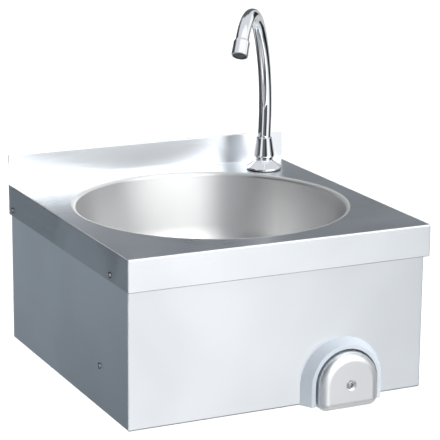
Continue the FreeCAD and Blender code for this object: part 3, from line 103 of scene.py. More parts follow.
class NodeMaker:
    """Adds and links nodes in one tree."""

    def __init__(self, tree: bpy.types.NodeTree) -> None:
        """Keep the tree that nodes are added to."""
        self.tree = tree

    def feed(self, socket: Socket, given: object) -> None:
        """Set an input, or link it.

        Args:
            socket: The input.
            given: A plain value, or the output that feeds the input.
        """
        if isinstance(given, bpy.types.NodeSocket):
            self.tree.links.new(given, socket)
        else:
            socket.default_value = given

    def fill(self, node: Node, **inputs: object) -> None:
        """Set or link a node's inputs, named with underscores for spaces."""
        for name, given in inputs.items():
            self.feed(node.inputs[name.replace("_", " ")], given)

    def add(self, kind: str, inputs: dict[str | int, object] | None = None, **settings: object) -> Node:
        """Add a node, set its own options, and set or link its inputs.

        Args:
            kind: The node's type name.
            inputs: Input name or number to a plain value or to the output that feeds it.
            **settings: Options of the node itself.

        Returns:
            The new node.
        """
        node = self.tree.nodes.new(kind)
        for name, setting in settings.items():
            setattr(node, name, setting)
        for name, given in (inputs or {}).items():
            self.feed(node.inputs[name], given)
        return node

    def where(self, kind: str = "Object") -> Socket:
        """Return a texture coordinate of the named kind."""
        return self.add("ShaderNodeTexCoord").outputs[kind]

    def parts(self, vector: Socket) -> bpy.types.NodeOutputs:
        """Return the X, Y and Z of a vector."""
        return self.add("ShaderNodeSeparateXYZ", {0: vector}).outputs

    def combined(self, *values: object) -> Socket:
        """Return the vector made of up to three values."""
        return self.add("ShaderNodeCombineXYZ", dict(enumerate(values))).outputs[0]

    def maths(self, operation: str, *values: object, clamp: bool = False) -> Socket:
        """Add a Math node over numbers or sockets, clamped to 0 to 1 if asked, and return its result."""
        node = self.add("ShaderNodeMath", dict(enumerate(values)), operation=operation, use_clamp=clamp)
        return node.outputs[0]

    def vector(self, operation: str, *values: object, result: str = "Vector") -> Socket:
        """Add a Vector Math node over vectors or sockets and return the named output."""
        node = self.add("ShaderNodeVectorMath", dict(enumerate(values)), operation=operation)
        return node.outputs[result]

    def ramp(self, value: object, low: object, high: object, start: float = 0.0, stop: float = 1.0) -> Socket:
        """Map a value smoothly from the range low to high onto the range start to stop."""
        node = self.add("ShaderNodeMapRange", {"Value": value, "From Min": low, "From Max": high,
                                               "To Min": start, "To Max": stop},
                        interpolation_type="SMOOTHSTEP")
        return node.outputs["Result"]

    def centred(self, value: object, reach: object) -> Socket:
        """Turn a value from 0 to 1 into one about zero, with a range as wide as the reach."""
        return self.maths("MULTIPLY", self.maths("SUBTRACT", value, 0.5), reach)

    def noise(self, place: Socket, scale: object = 1.0, detail: float = 2.0, roughness: float = 0.5,
              distortion: float = 0.0) -> Socket:
        """Add a Noise Texture that is read at a place, and return its value."""
        node = self.add("ShaderNodeTexNoise", {"Vector": place, "Scale": scale, "Detail": detail,
                                               "Roughness": roughness, "Distortion": distortion})
        return node.outputs["Fac"]

    def mix(self, kind: Mixed, factor: object, first: object, second: object) -> Socket:
        """Add a Mix node and return its result.

        Args:
            kind: What it mixes.
            factor: How much of the second shows.
            first: The first value or socket.
            second: The second one.

        Returns:
            The result's socket.
        """
        data_type, at, result = kind.value
        node = self.add("ShaderNodeMix", {"Factor": factor, at: first, at + 1: second}, data_type=data_type)
        return node.outputs[result]


class SharedEffect:
    """A shader node group with named inputs and outputs, built once and placed in many materials."""

    name = ""
    inputs: dict[str, tuple[str, object]] = {}
    outputs: dict[str, str] = {}

    def tree(self) -> bpy.types.NodeTree:
        """Return the group's tree, and build it the first time.

        Returns:
            The node group.
        """
        found = bpy.data.node_groups.get(self.name)
        if found is not None:
            return found
        tree = bpy.data.node_groups.new(self.name, "ShaderNodeTree")
        for label, (kind, start) in self.inputs.items():
            socket = tree.interface.new_socket(label, in_out="INPUT", socket_type=kind)
            socket.default_value = start
        for label, kind in self.outputs.items():
            tree.interface.new_socket(label, in_out="OUTPUT", socket_type=kind)
        maker = NodeMaker(tree)
        given = maker.add("NodeGroupInput")
        result = maker.add("NodeGroupOutput")
        for label, socket in self.build(maker, given.outputs).items():
            tree.links.new(socket, result.inputs[label])
        return tree

    def build(self, maker: NodeMaker, given: bpy.types.NodeOutputs) -> dict[str, Socket]:
        """Fill the group, and return each output's name with the socket that feeds it."""
        raise NotImplementedError

    def place(self, maker: NodeMaker, **inputs: object) -> bpy.types.NodeOutputs:
        """Place the group in a node tree.

        Args:
            maker: What adds nodes there.
            **inputs: Input names, with underscores for spaces, to numbers or sockets.

        Returns:
            The group's outputs.
        """
        node = maker.add("ShaderNodeGroup", node_tree=self.tree())
        maker.fill(node, **inputs)
        return node.outputs


class BrushedLines(SharedEffect):
    """Fine lines of a belt-ground sheet: along Y on its left and right sides, and along X elsewhere."""

    name = "brushed lines"
    inputs = {"Fine": (FLOAT, 2600.0), "Length": (FLOAT, 26.0)}
    outputs = {"Lines": FLOAT, "Bands": FLOAT}
    band_share = 0.12

    def build(self, maker: NodeMaker, given: bpy.types.NodeOutputs) -> dict[str, Socket]:
        """Fill the group: stretched noise, whose direction follows the surface's own normal.

        Args:
            maker: What adds nodes to the group.
            given: The group's inputs.

        Returns:
            The lines, and broader bands of them.
        """
        across = maker.maths("ABSOLUTE", maker.parts(maker.where("Normal"))["X"])
        sideways = maker.ramp(across, low=0.55, high=0.85)
        fine, length = given["Fine"], given["Length"]
        stretch = maker.mix(Mixed.VECTOR, sideways, maker.combined(length, fine, fine),
                            maker.combined(fine, length, fine))
        stretched = maker.vector("MULTIPLY", maker.where(), stretch)
        wide = maker.vector("MULTIPLY", stretched, (self.band_share,) * 3)
        return {"Lines": maker.noise(stretched, detail=3.0, roughness=0.65), "Bands": maker.noise(wide)}


class SoftClouds(SharedEffect):
    """Broad, soft patches, as rolled sheet and wiped metal have."""

    name = "soft clouds"
    inputs = {"Size": (FLOAT, 14.0), "Contrast": (FLOAT, 1.0)}
    outputs = {"Tone": FLOAT}

    def build(self, maker: NodeMaker, given: bpy.types.NodeOutputs) -> dict[str, Socket]:
        """Fill the group: broad noise, spread out about one half and kept from 0 to 1."""
        broad = maker.noise(maker.where(), given["Size"], roughness=0.45, distortion=0.35)
        return {"Tone": maker.maths("ADD", maker.centred(broad, given["Contrast"]), 0.5, clamp=True)}


class TurnedRings(SharedEffect):
    """Marks of a spun or turned piece whose axis is upright: fine rings round it, and streaks up it."""

    name = "turned rings"
    inputs = {"Centre": (VECTOR, (0.0, 0.0, 0.0)), "Fine": (FLOAT, 2200.0)}
    outputs = {"Rings": FLOAT, "Streaks": FLOAT}
    streaks_scale = 7.0

    def build(self, maker: NodeMaker, given: bpy.types.NodeOutputs) -> dict[str, Socket]:
        """Fill the group: noise over the distance from the axis and the height, and over the heading.

        Args:
            maker: What adds nodes to the group.
            given: The group's inputs.

        Returns:
            The rings and the streaks.
        """
        offset = maker.vector("SUBTRACT", maker.where(), given["Centre"])
        outward = maker.vector("MULTIPLY", offset, (1.0, 1.0, 0.0))
        radius = maker.vector("LENGTH", outward, result="Value")
        height = maker.parts(offset)["Z"]
        seat = maker.combined(*(maker.maths("MULTIPLY", run, given["Fine"]) for run in (radius, height)))
        heading = maker.vector("NORMALIZE", outward)
        return {"Rings": maker.noise(seat, roughness=0.6),
                "Streaks": maker.noise(heading, self.streaks_scale, detail=4.0, roughness=0.7)}


class CastGrain(SharedEffect):
    """The pebbled skin of cast or moulded pieces."""

    name = "cast grain"
    inputs = {"Size": (FLOAT, 900.0)}
    outputs = {"Height": FLOAT, "Pits": FLOAT}
    broad_share = 0.3

    def build(self, maker: NodeMaker, given: bpy.types.NodeOutputs) -> dict[str, Socket]:
        """Fill the group: cells for the pebbles and sparse darker pits.

        Args:
            maker: What adds nodes to the group.
            given: The group's inputs.

        Returns:
            The skin's height, and where its pits are.
        """
        place = maker.where()
        cells = maker.add("ShaderNodeTexVoronoi", {"Vector": place, "Scale": given["Size"]},
                          feature="SMOOTH_F1")
        broad = maker.noise(place, maker.maths("MULTIPLY", given["Size"], self.broad_share), detail=5.0,
                            roughness=0.7)
        return {"Height": maker.maths("ADD", cells.outputs["Distance"], broad),
                "Pits": maker.ramp(broad, low=0.28, high=0.42, start=1.0, stop=0.0)}


class FoldedEdges(SharedEffect):
    """Where a sheet turns a corner: its folds, as the mask for a painted highlight."""

    name = "folded edges"
    inputs = {"Low": (FLOAT, 0.04), "High": (FLOAT, 0.16)}
    outputs = {"Edge": FLOAT}

    def build(self, maker: NodeMaker, given: bpy.types.NodeOutputs) -> dict[str, Socket]:
        """Fill the group: how far the normal is from the nearest axis, but for folds that look down.

        Args:
            maker: What adds nodes to the group.
            given: The group's inputs.

        Returns:
            The folds, from 0 to 1.
        """
        normal = maker.parts(maker.where("Normal"))
        across, along, up = (maker.maths("ABSOLUTE", normal[axis]) for axis in "XYZ")
        nearest = maker.maths("MAXIMUM", maker.maths("MAXIMUM", across, along), up)
        slant = maker.ramp(maker.maths("SUBTRACT", 1.0, nearest), given["Low"], given["High"])
        # folds that look down get no painted highlight, so lower hems stay dark
        lit = maker.ramp(normal["Z"], low=-0.3, high=-0.05)
        return {"Edge": maker.maths("MULTIPLY", slant, lit)}


class CardMask(SharedEffect):
    """How much a card in the surroundings covers a direction, from 0 to 1."""

    name = "card mask"
    inputs = {"Azimuth": (FLOAT, 0.0), "Elevation": (FLOAT, 0.0), "Half Width": (FLOAT, 10.0),
              "Half Height": (FLOAT, 10.0), "Soft": (FLOAT, 5.0)}
    outputs = {"Cover": FLOAT}

    def build(self, maker: NodeMaker, given: bpy.types.NodeOutputs) -> dict[str, Socket]:
        """Fill the group: the angles from the card's middle, ramped down over its soft edge.

        Args:
            maker: What adds nodes to the group.
            given: The group's inputs.

        Returns:
            The cover.
        """
        way = maker.parts(maker.where("Generated"))
        forward = maker.maths("MULTIPLY", way["Y"], -1.0)
        azimuth = maker.maths("DEGREES", maker.maths("ARCTAN2", way["X"], forward))
        elevation = maker.maths("DEGREES", maker.maths("ARCSINE", way["Z"]))
        turned = maker.maths("WRAP", maker.maths("SUBTRACT", azimuth, given["Azimuth"]), 180.0, -180.0)
        raised = maker.maths("SUBTRACT", elevation, given["Elevation"])
        covers = []
        for angle, half in ((turned, given["Half Width"]), (raised, given["Half Height"])):
            outer = maker.maths("ADD", half, given["Soft"])
            inner = maker.maths("SUBTRACT", half, given["Soft"])
            covers.append(maker.ramp(maker.maths("ABSOLUTE", angle), inner, outer, start=1.0, stop=0.0))
        return {"Cover": maker.maths("MULTIPLY", *covers)}


BRUSHED_LINES = BrushedLines()
SOFT_CLOUDS = SoftClouds()
TURNED_RINGS = TurnedRings()
CAST_GRAIN = CastGrain()
FOLDED_EDGES = FoldedEdges()
CARD_MASK = CardMask()


# ------------------------------------------------------------------ finishes


@dataclass(frozen=True)
class Finish:
    """A surface finish: one record slot, one material.

    relief and depth are the strength and the height in metres of what is pressed into the surface.
    """

    slot: str
    colour: Colour
    roughness: float
    metallic: float = 1.0
    variant: str = "finish"
    relief: float = 0.2
    depth: float = 0.00003

    def material(self) -> bpy.types.Material:
        """Return the finish's material, and make it the first time.

        Returns:
            The material.
        """
        name = self.label()
        found = bpy.data.materials.get(name)
        if found is not None:
            return found
        made = bpy.data.materials.new(name)
        made.use_nodes = True
        made.node_tree.nodes.clear()
        maker = NodeMaker(made.node_tree)
        shader = maker.add("ShaderNodeBsdfPrincipled", {
            "Base Color": (*self.colour, 1.0), "Roughness": self.roughness, "Metallic": self.metallic})
        maker.add("ShaderNodeOutputMaterial", {"Surface": shader.outputs["BSDF"]})
        self.detail(maker, shader)
        return made

    def label(self) -> str:
        """Return the material's name."""
        return f"{self.slot}_{self.variant}"

    def detail(self, maker: NodeMaker, shader: Node) -> None:
        """Add to the material what makes this finish more than a flat colour."""
        raise NotImplementedError

    def tinted(self, maker: NodeMaker, tone: Socket, shade: float) -> Socket:
        """Mix the finish's colour towards a shade of itself, by a tone from 0 to 1."""
        shaded = (*(shade * c for c in self.colour), 1.0)
        return maker.mix(Mixed.COLOUR, tone, (*self.colour, 1.0), shaded)

    def surface(self, maker: NodeMaker, shader: Node, colour: Socket, roughness: Socket,
                height: Socket) -> None:
        """Link the varied colour and roughness, and press a height into the surface."""
        bump = maker.add("ShaderNodeBump", {"Strength": self.relief, "Distance": self.depth,
                                            "Height": height})
        maker.fill(shader, Base_Color=colour, Roughness=roughness, Normal=bump.outputs["Normal"])

    def dress(self, *nodes: str) -> None:
        """Give CAD nodes this finish.

        Args:
            *nodes: The nodes' names.
        """
        for name in nodes:
            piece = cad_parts[name]
            for slot in piece.material_slots:
                slot.material = self.material()
            if not piece.material_slots:
                piece.data.materials.append(self.material())
            LOG.info("%s wears %s", name, self.label())


@dataclass(frozen=True)
class BrushedSheet(Finish):
    """Belt-ground sheet: fine straight lines and faint broad patches."""

    relief: float = 0.25
    depth: float = 0.00002
    spread: float = 0.06
    cloud_size: float = 9.0
    contrast: float = 2.4
    shade: float = 0.93
    smear: float = 0.0
    # painted highlight: how matte, and so how pale, the folds are painted
    painted_fold_highlight: float = 0.0
    # painted light: how far faces that look down turn matte and pale
    under: float = 0.0
    # painted shade: how dark the left and right faces are painted, in patches
    painted_side_shade: float = 1.0
    side_facing: float = 0.7

    def sideways(self, maker: NodeMaker) -> Socket:
        """Return 1 where the sheet faces left or right, and 0 elsewhere."""
        normal = maker.parts(maker.add("ShaderNodeNewGeometry").outputs["Normal"])
        return maker.maths("GREATER_THAN", maker.maths("ABSOLUTE", normal["X"]), self.side_facing)

    def paint_side_shade(self, maker: NodeMaker, tint: Socket, tone: Socket) -> Socket:
        """Paint shade on the sides, darker in patches, so that they seem to mirror less of the light.

        Args:
            maker: What adds nodes to the material.
            tint: The colour so far.
            tone: The patches, from 0 to 1.

        Returns:
            The colour's socket.
        """
        patches = maker.ramp(tone, low=0.25, high=0.75, start=1.0, stop=0.45)
        cover = maker.maths("MULTIPLY", self.sideways(maker), patches)
        return maker.mix(Mixed.COLOUR, cover, tint, (*(self.painted_side_shade * c for c in self.colour), 1.0))

    def paint_light_below(self, maker: NodeMaker, shader: Node) -> None:
        """Paint light on faces that look down: they turn part matte and take the floor's light as a pale
        white.

        Args:
            maker: What adds nodes to the material.
            shader: The material's surface shader.
        """
        up = maker.parts(maker.where("Normal"))["Z"]
        metallic = maker.ramp(up, low=-0.5, high=-0.05, start=1.0 - self.under, stop=1.0)
        maker.fill(shader, Metallic=metallic)

    def paint_fold_highlight(self, maker: NodeMaker, shader: Node) -> None:
        """Paint a highlight on the folds: they turn part matte, so that they show as thin pale lines.

        Args:
            maker: What adds nodes to the material.
            shader: The material's surface shader.
        """
        edge = FOLDED_EDGES.place(maker)["Edge"]
        metallic = maker.maths("SUBTRACT", 1.0, maker.maths("MULTIPLY", edge, self.painted_fold_highlight))
        maker.fill(shader, Metallic=metallic)

    def smeared(self, maker: NodeMaker, shader: Node) -> None:
        """Spread reflections across the ground lines: upwards on upright faces, inwards on level ones."""
        across = maker.mix(Mixed.VECTOR, self.sideways(maker), (0.0, 1.0, 1.0), (0.0, 0.0, 1.0))
        maker.fill(shader, Anisotropic=self.smear, Tangent=across)

    def detail(self, maker: NodeMaker, shader: Node) -> None:
        """Vary roughness and tone along the lines, and press the lines in.

        Args:
            maker: What adds nodes to the material.
            shader: The material's surface shader.
        """
        # smear spreads reflections; the other two paint a highlight on the folds and light on faces that look
        # down
        for amount, effect in ((self.smear, self.smeared), (self.painted_fold_highlight, self.paint_fold_highlight),
                               (self.under, self.paint_light_below)):
            if amount:
                effect(maker, shader)
        lines = BRUSHED_LINES.place(maker)
        tone = SOFT_CLOUDS.place(maker, Size=self.cloud_size, Contrast=self.contrast)["Tone"]
        # painted shade on the left and right faces
        colour = self.paint_side_shade(maker, self.tinted(maker, tone, self.shade), tone)
        rough: object = self.roughness
        for value, reach in ((lines["Lines"], 2 * self.spread), (lines["Bands"], self.spread),
                             (tone, self.spread)):
            rough = maker.maths("ADD", maker.centred(value, reach), rough)
        self.surface(maker, shader, colour, rough, lines["Lines"])


@dataclass(frozen=True)
class SatinBowl(Finish):
    """The pressed bowl's satin: faint upright draw marks and broad soft patches."""

    relief: float = 0.12
    centre: Triple = (0.0, 0.0, 0.0)
    fine: float = 1500.0
    spread: float = 0.05
    smear: float = 0.8
    cloud_size: float = 8.0
    contrast: float = 2.0
    shade: float = 0.94
    # top is the deck's top; rim is how far below it the band of painted rim highlight reaches
    top: float = 0.033
    rim: float = 0.0022

    def paint_rim_highlight(self, maker: NodeMaker, shader: Node) -> None:
        """Paint a highlight on the weld round the mouth: a thin band turns part matte and shows as a pale
        line.

        Args:
            maker: What adds nodes to the material.
            shader: The material's surface shader.
        """
        drop = maker.maths("SUBTRACT", self.top, maker.parts(maker.where())["Z"])
        metallic = maker.ramp(drop, low=self.rim, high=1.6 * self.rim, start=0.35, stop=1.0)
        maker.fill(shader, Metallic=metallic)

    def detail(self, maker: NodeMaker, shader: Node) -> None:
        """Lay streaks up the wall and rings on the floor, and spread reflections up the wall.

        Args:
            maker: What adds nodes to the material.
            shader: The material's surface shader.
        """
        around = maker.add("ShaderNodeTangent", direction_type="RADIAL", axis="Z").outputs[0]
        outward = maker.add("ShaderNodeNewGeometry").outputs["Normal"]
        across = maker.vector("CROSS_PRODUCT", outward, around)
        maker.fill(shader, Anisotropic=self.smear, Tangent=across)
        self.paint_rim_highlight(maker, shader)
        marks = TURNED_RINGS.place(maker, Centre=self.centre, Fine=self.fine)
        tone = SOFT_CLOUDS.place(maker, Size=self.cloud_size, Contrast=self.contrast)["Tone"]
        rough = maker.maths("ADD", maker.centred(marks["Streaks"], 2 * self.spread), self.roughness)
        self.surface(maker, shader, self.tinted(maker, tone, self.shade), rough, marks["Rings"])


@dataclass(frozen=True)
class Chrome(Finish):
    """Polished metal with the faintest waviness and a few softer, wiped patches."""

    relief: float = 0.05
    depth: float = 0.0002
    wiped: float = 0.03
    cloud_size: float = 45.0
    contrast: float = 2.0
    shade: float = 0.97

    def detail(self, maker: NodeMaker, shader: Node) -> None:
        """Wave the surface a little and soften it in patches.

        Args:
            maker: What adds nodes to the material.
            shader: The material's surface shader.
        """
        tone = SOFT_CLOUDS.place(maker, Size=self.cloud_size, Contrast=self.contrast)["Tone"]
        rough = maker.maths("ADD", maker.maths("MULTIPLY", tone, self.wiped), self.roughness)
        self.surface(maker, shader, self.tinted(maker, tone, self.shade), rough, tone)


@dataclass(frozen=True)
class CastPiece(Finish):
    """Cast or moulded: a pebbled skin with darker pits."""

    relief: float = 0.35
    depth: float = 0.00012
    grain: float = 900.0
    pit_shade: float = 0.72
    pit_roughness: float = 0.12

    def detail(self, maker: NodeMaker, shader: Node) -> None:
        """Press the grain in and darken its pits.

        Args:
            maker: What adds nodes to the material.
            shader: The material's surface shader.
        """
        skin = CAST_GRAIN.place(maker, Size=self.grain)
        rough = maker.maths("ADD", maker.maths("MULTIPLY", skin["Pits"], self.pit_roughness), self.roughness)
        self.surface(maker, shader, self.tinted(maker, skin["Pits"], self.pit_shade), rough, skin["Height"])


@dataclass(frozen=True)
class Finishes:
    """Every finish on the sink."""

    # worktop and casing: painted shade on the sides and a painted highlight on the folds
    worktop: BrushedSheet = BrushedSheet("worktop_steel", (0.8, 0.83, 0.86), 0.31, cloud_size=7.0,
                                         shade=0.88, smear=0.75, painted_fold_highlight=1.0, painted_side_shade=0.55)
    bowl: SatinBowl = SatinBowl("bowl_steel", (0.74, 0.74, 0.74), 0.42, centre=(0.0, -0.196, 0.0))
    casing: BrushedSheet = BrushedSheet("casing_steel", (0.84, 0.87, 0.9), 0.28, relief=0.008, spread=0.006,
                                        cloud_size=6.0, shade=0.88, painted_fold_highlight=0.9, painted_side_shade=0.82)
    bracket: BrushedSheet = BrushedSheet("bracket_steel", (0.5, 0.51, 0.52), 0.42, spread=0.1)
    screw: Chrome = Chrome("screw_steel", (0.42, 0.43, 0.45), 0.26)
    # the pad gets painted light on faces that look down
    pad: BrushedSheet = BrushedSheet("pad_steel", (0.8, 0.81, 0.82), 0.42, spread=0.03, relief=0.08,
                                     under=0.6)
    rod: Chrome = Chrome("rod_steel", (0.62, 0.62, 0.64), 0.18)
    spring: Chrome = Chrome("spring_steel", (0.42, 0.42, 0.43), 0.28)
    surround: CastPiece = CastPiece("surround", (0.57, 0.625, 0.685), 0.38, 0.0, grain=2400.0, relief=0.06,
                                    depth=0.00004, pit_shade=0.96)
    cast_brass: CastPiece = CastPiece("cast_brass", (0.62, 0.46, 0.2), 0.42)
    turned_brass: Chrome = Chrome("turned_brass", (0.72, 0.55, 0.27), 0.24)
    rubber: CastPiece = CastPiece("rubber", (0.012, 0.012, 0.013), 0.55, 0.0, grain=2600.0, relief=0.2,
                                  depth=0.00006)
    fibre: CastPiece = CastPiece("fibre", (0.2, 0.03, 0.02), 0.7, 0.0, grain=3000.0)
    chrome: Chrome = Chrome("tap_chrome", (0.9, 0.91, 0.93), 0.001, relief=0.03, wiped=0.002)
    screen: CastPiece = CastPiece("screen", (0.05, 0.05, 0.055), 0.5, 0.0, grain=3000.0)
    screen_wire: Chrome = Chrome("screen", (0.3, 0.3, 0.31), 0.3, variant="wire")
    pipe: Chrome = Chrome("pipe_steel", (0.6, 0.6, 0.62), 0.22)
    waste_steel: Chrome = Chrome("waste_steel", (0.74, 0.75, 0.77), 0.12)
    waste_plastic: CastPiece = CastPiece("waste_plastic", (0.62, 0.62, 0.6), 0.42, 0.0, grain=1800.0,
                                         relief=0.15)


FINISHES = Finishes()


# ------------------------------------------------------------------ mesh work


@dataclass(frozen=True)
class Stand:
    """Where a piece's own origin is, in millimetres, and which way its +Z points."""

    spot: Triple
    towards: Triple = Axis.UP.value

    def matrix(self) -> Matrix:
        """Return the turn and shift from the piece's own millimetres to the frame's metres."""
        turn = Vector(Axis.UP.value).rotation_difference(Vector(self.towards)).to_matrix().to_4x4()
        return Matrix.Translation(Vector(self.spot) * MM) @ turn @ Matrix.Scale(MM, 4)


@dataclass(frozen=True)
class Thread:
    """A screw thread cut into part of a turned piece, in millimetres."""

    low: float
    high: float
    pitch: float
    depth: float
    steps: int = 8

    def levels(self, start: tuple[float, float], stop: tuple[float, float]) -> list[float]:
        """Return the heights of the thread's rings between two points of a profile, in the profile's order.

        Args:
            start: Radius and height of the first point.
            stop: Radius and height of the second point.

        Returns:
            The heights, or none where the run between the points doesn't hold the thread.
        """
        if start[0] != stop[0] or min(start[1], stop[1]) > self.low or max(start[1], stop[1]) < self.high:
            return []
        count = max(2, round((self.high - self.low) / self.pitch * self.steps))
        heights = [self.low + (self.high - self.low) * i / count for i in range(count + 1)]
        if start[1] > stop[1]:
            heights.reverse()
        return [height for height in heights if height not in (start[1], stop[1])]

    def cut(self, z: float, angle: float) -> float:
        """Return how deep the thread is at a height and an angle, run out at both ends.

        Args:
            z: Height along the axis.
            angle: Angle round the axis, in radians.

        Returns:
            The depth in millimetres.
        """
        turn = (z / self.pitch - angle / math.tau) % 1.0
        groove = 1.0 - abs(2.0 * turn - 1.0)
        run_out = min(1.0, (z - self.low) / self.pitch, (self.high - z) / self.pitch)
        return self.depth * min(1.0, 1.25 * groove) * max(0.0, run_out)


class PieceMesh:
    """A mesh made in a piece's own millimetres and added to the scene as one named piece."""

    crease = math.radians(38.0)
    parallel = 0.99

    def __init__(self, name: str) -> None:
        """Start an empty mesh for the named piece."""
        self.name = name
        self.mesh = bmesh.new()

    def ring(self, stand: Matrix, points: Sequence[Triple]) -> list[bmesh.types.BMVert]:
        """Add a ring of points, moved to their stand, and return its vertices."""
        return [self.mesh.verts.new(stand @ Vector(point)) for point in points]

    def bridge(self, low: list[bmesh.types.BMVert], high: list[bmesh.types.BMVert]) -> None:
        """Join two rings with faces; either may be a single point.

        Args:
            low: The first ring.
            high: The second ring.
        """
        count = max(len(low), len(high))
        for i in range(count):
            j = (i + 1) % count
            if len(low) == 1:
                corners = (low[0], high[j], high[i])
            elif len(high) == 1:
                corners = (low[i], low[j], high[0])
            else:
                corners = (low[i], low[j], high[j], high[i])
            self.mesh.faces.new(corners)

    def turned(self, stand: Stand, profile: Profile, segments: int, thread: Thread,
               relief: Callable[[float, float, float], float]) -> None:
        """Add a piece turned about its own Z axis.

        Args:
            stand: Where the axis stands.
            profile: Radius and height pairs, from one point on the axis to another.
            segments: Steps round the axis.
            thread: The thread on the upright run that holds it.
            relief: Added to the height of a point, from its x, y and z.
        """
        place = stand.matrix()
        steps = [(*profile[0], False)]
        for start, stop in zip(profile, profile[1:]):
            steps += [(start[0], level, True) for level in thread.levels(start, stop)]
            steps.append((*stop, False))
        rings = []
        for radius, z, threaded in steps:
            points = []
            for i in range(segments if radius else 1):
                angle = math.tau * i / segments
                reach = radius - (thread.cut(z, angle) if threaded else 0.0)
                x, y = reach * math.cos(angle), reach * math.sin(angle)
                points.append((x, y, z + relief(x, y, z)))
            rings.append(self.ring(place, points))
        for low, high in zip(rings, rings[1:]):
            self.bridge(low, high)

    def wire(self, stand: Stand, path: Sequence[Triple], radius: float, sides: int) -> None:
        """Add a round wire along a path, closed at both ends.

        Args:
            stand: Where the path stands.
            path: Its points.
            radius: The wire's radius.
            sides: Faces round the wire.
        """
        place = stand.matrix()
        points = [Vector(point) for point in path]
        spokes = [math.tau * k / sides for k in range(sides)]
        rings = []
        across = Vector((0.0, 0.0, 1.0))
        for i, point in enumerate(points):
            along = (points[min(i + 1, len(points) - 1)] - points[max(i - 1, 0)]).normalized()
            if abs(along.dot(across)) > self.parallel:
                across = Vector((1.0, 0.0, 0.0))
            side = along.cross(across).normalized()
            across = side.cross(along).normalized()
            rings.append(self.ring(place, [
                tuple(point + radius * (side * math.cos(spoke) + across * math.sin(spoke)))
                for spoke in spokes]))
        for low, high in zip(rings, rings[1:]):
            self.bridge(low, high)
        self.mesh.faces.new(list(reversed(rings[0])))
        self.mesh.faces.new(rings[-1])

    def place(self, finish: Finish, body: Body, replaces: Sequence[str] = (),
              shading: Shading = Shading.CREASED) -> bpy.types.Object:
        """Turn the mesh into a finished piece that rides on a body.

        Args:
            finish: Its finish.
            body: What it rides on.
            replaces: The CAD nodes that it stands for.
            shading: Whether sharp edges stay sharp.

        Returns:
            The piece.
        """
        bmesh.ops.recalc_face_normals(self.mesh, faces=self.mesh.faces)
        for face in self.mesh.faces:
            face.smooth = True
        if shading is Shading.CREASED:
            for edge in self.mesh.edges:
                edge.smooth = edge.calc_face_angle(0.0) < self.crease
        data = bpy.data.meshes.new(self.name)
        self.mesh.to_mesh(data)
        self.mesh.free()
        data.materials.append(finish.material())
        piece = bpy.data.objects.new(self.name, data)
        bpy.context.scene.collection.objects.link(piece)
        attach(piece, body.value)
        if replaces:
            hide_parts(*replaces)
        LOG.info("%s: %d faces", self.name, len(data.polygons))
        return piece


# ------------------------------------------------------------------ pieces, in millimetres


@dataclass(frozen=True)
class PanScrew:
    """A pan-head machine screw with a cross recess. Its own +Z points out of the head, from the seat.

    dome is the share of the head's height that its curve loses from the middle to the rim, and shoulder the
    share of its radius where the rim's rounding starts. The recess leaves what is below the height uncut.
    """

    head_radius: float = 3.9
    head_height: float = 1.9
    head_edge: float = 0.25
    head_chamfer: float = 0.1
    dome: float = 0.32
    shoulder: float = 0.82
    shank_radius: float = 2.5
    length: float = 11.0
    tip: float = 0.7
    plain: float = 0.2
    pitch: float = 0.8
    thread_depth: float = 0.4
    arm_length: float = 2.5
    arm_width: float = 0.75
    arm_draft: float = 0.16
    arm_slope: float = 0.9
    recess: float = 1.6
    uncut: float = 0.3
    rings: int = 26
    segments: int = 72

    def crown(self, radius: float) -> float:
        """Return the height of the head's surface at a radius.

        Args:
            radius: Distance from the axis.

        Returns:
            The height above the seat.
        """
        share = radius / self.head_radius
        rounding = max(0.0, share - self.shoulder) / (1.0 - self.shoulder)
        return self.head_height * (1.0 - self.dome * share ** 2 - (1.0 - self.dome) * rounding ** 2)

    def sunk(self, x: float, y: float, z: float) -> float:
        """Return how the cross recess lowers a point of the head.

        Args:
            x: Place across the head.
            y: Place along the head.
            z: Height above the seat.

        Returns:
            The change in height.
        """
        if z <= self.uncut:
            return 0.0
        depth = 0.0
        for along, across in ((x, y), (y, x)):
            wall = min(1.0, max(0.0, (self.arm_width - abs(across)) / self.arm_draft + 0.5))
            end = min(1.0, max(0.0, (self.arm_length - abs(along)) / self.arm_slope))
            depth = max(depth, wall * end)
        return -self.recess * depth

    def add_to(self, work: PieceMesh, stand: Stand) -> None:
        """Add one screw.

        Args:
            work: The mesh to add it to.
            stand: Where its seat is and which way its head points.
        """
        top = [self.head_radius * i / self.rings for i in range(self.rings)]
        profile = [(radius, self.crown(radius)) for radius in top]
        profile += [(self.head_radius, self.head_edge), (self.head_radius - self.head_chamfer, 0.0),
                    (self.shank_radius, 0.0), (self.shank_radius, self.tip - self.length),
                    (self.shank_radius - self.tip, -self.length), (0.0, -self.length)]
        thread = Thread(self.tip - self.length, -self.plain, self.pitch, self.thread_depth)
        work.turned(stand, profile, self.segments, thread, self.sunk)


@dataclass(frozen=True)
class SideScrews:
    """The screws in the fascia, the skirt and the bracket's ears, and the two for the valve rail."""

    fascia_half: float = 200.0
    skirt_half: float = 196.5
    fascia_spots: tuple[tuple[float, float], ...] = ((-345.0, 1.0), (-13.0, 1.0))
    rail_spot: tuple[float, float] = (-303.0, -123.0)
    screw: PanScrew = PanScrew()

    def build(self) -> None:
        """Replace the plain screws with threaded ones."""
        for name, half, spots in (("side_screws", self.fascia_half, self.fascia_spots),
                                  ("rail_screws", self.skirt_half, (self.rail_spot,))):
            work = PieceMesh(f"{name}_cross_head")
            for side in (Axis.TO_LEFT, Axis.TO_RIGHT):
                for y, z in spots:
                    self.screw.add_to(work, Stand((side.value[0] * half, y, z), side.value))
            work.place(FINISHES.screw, Body.SINK, [name])


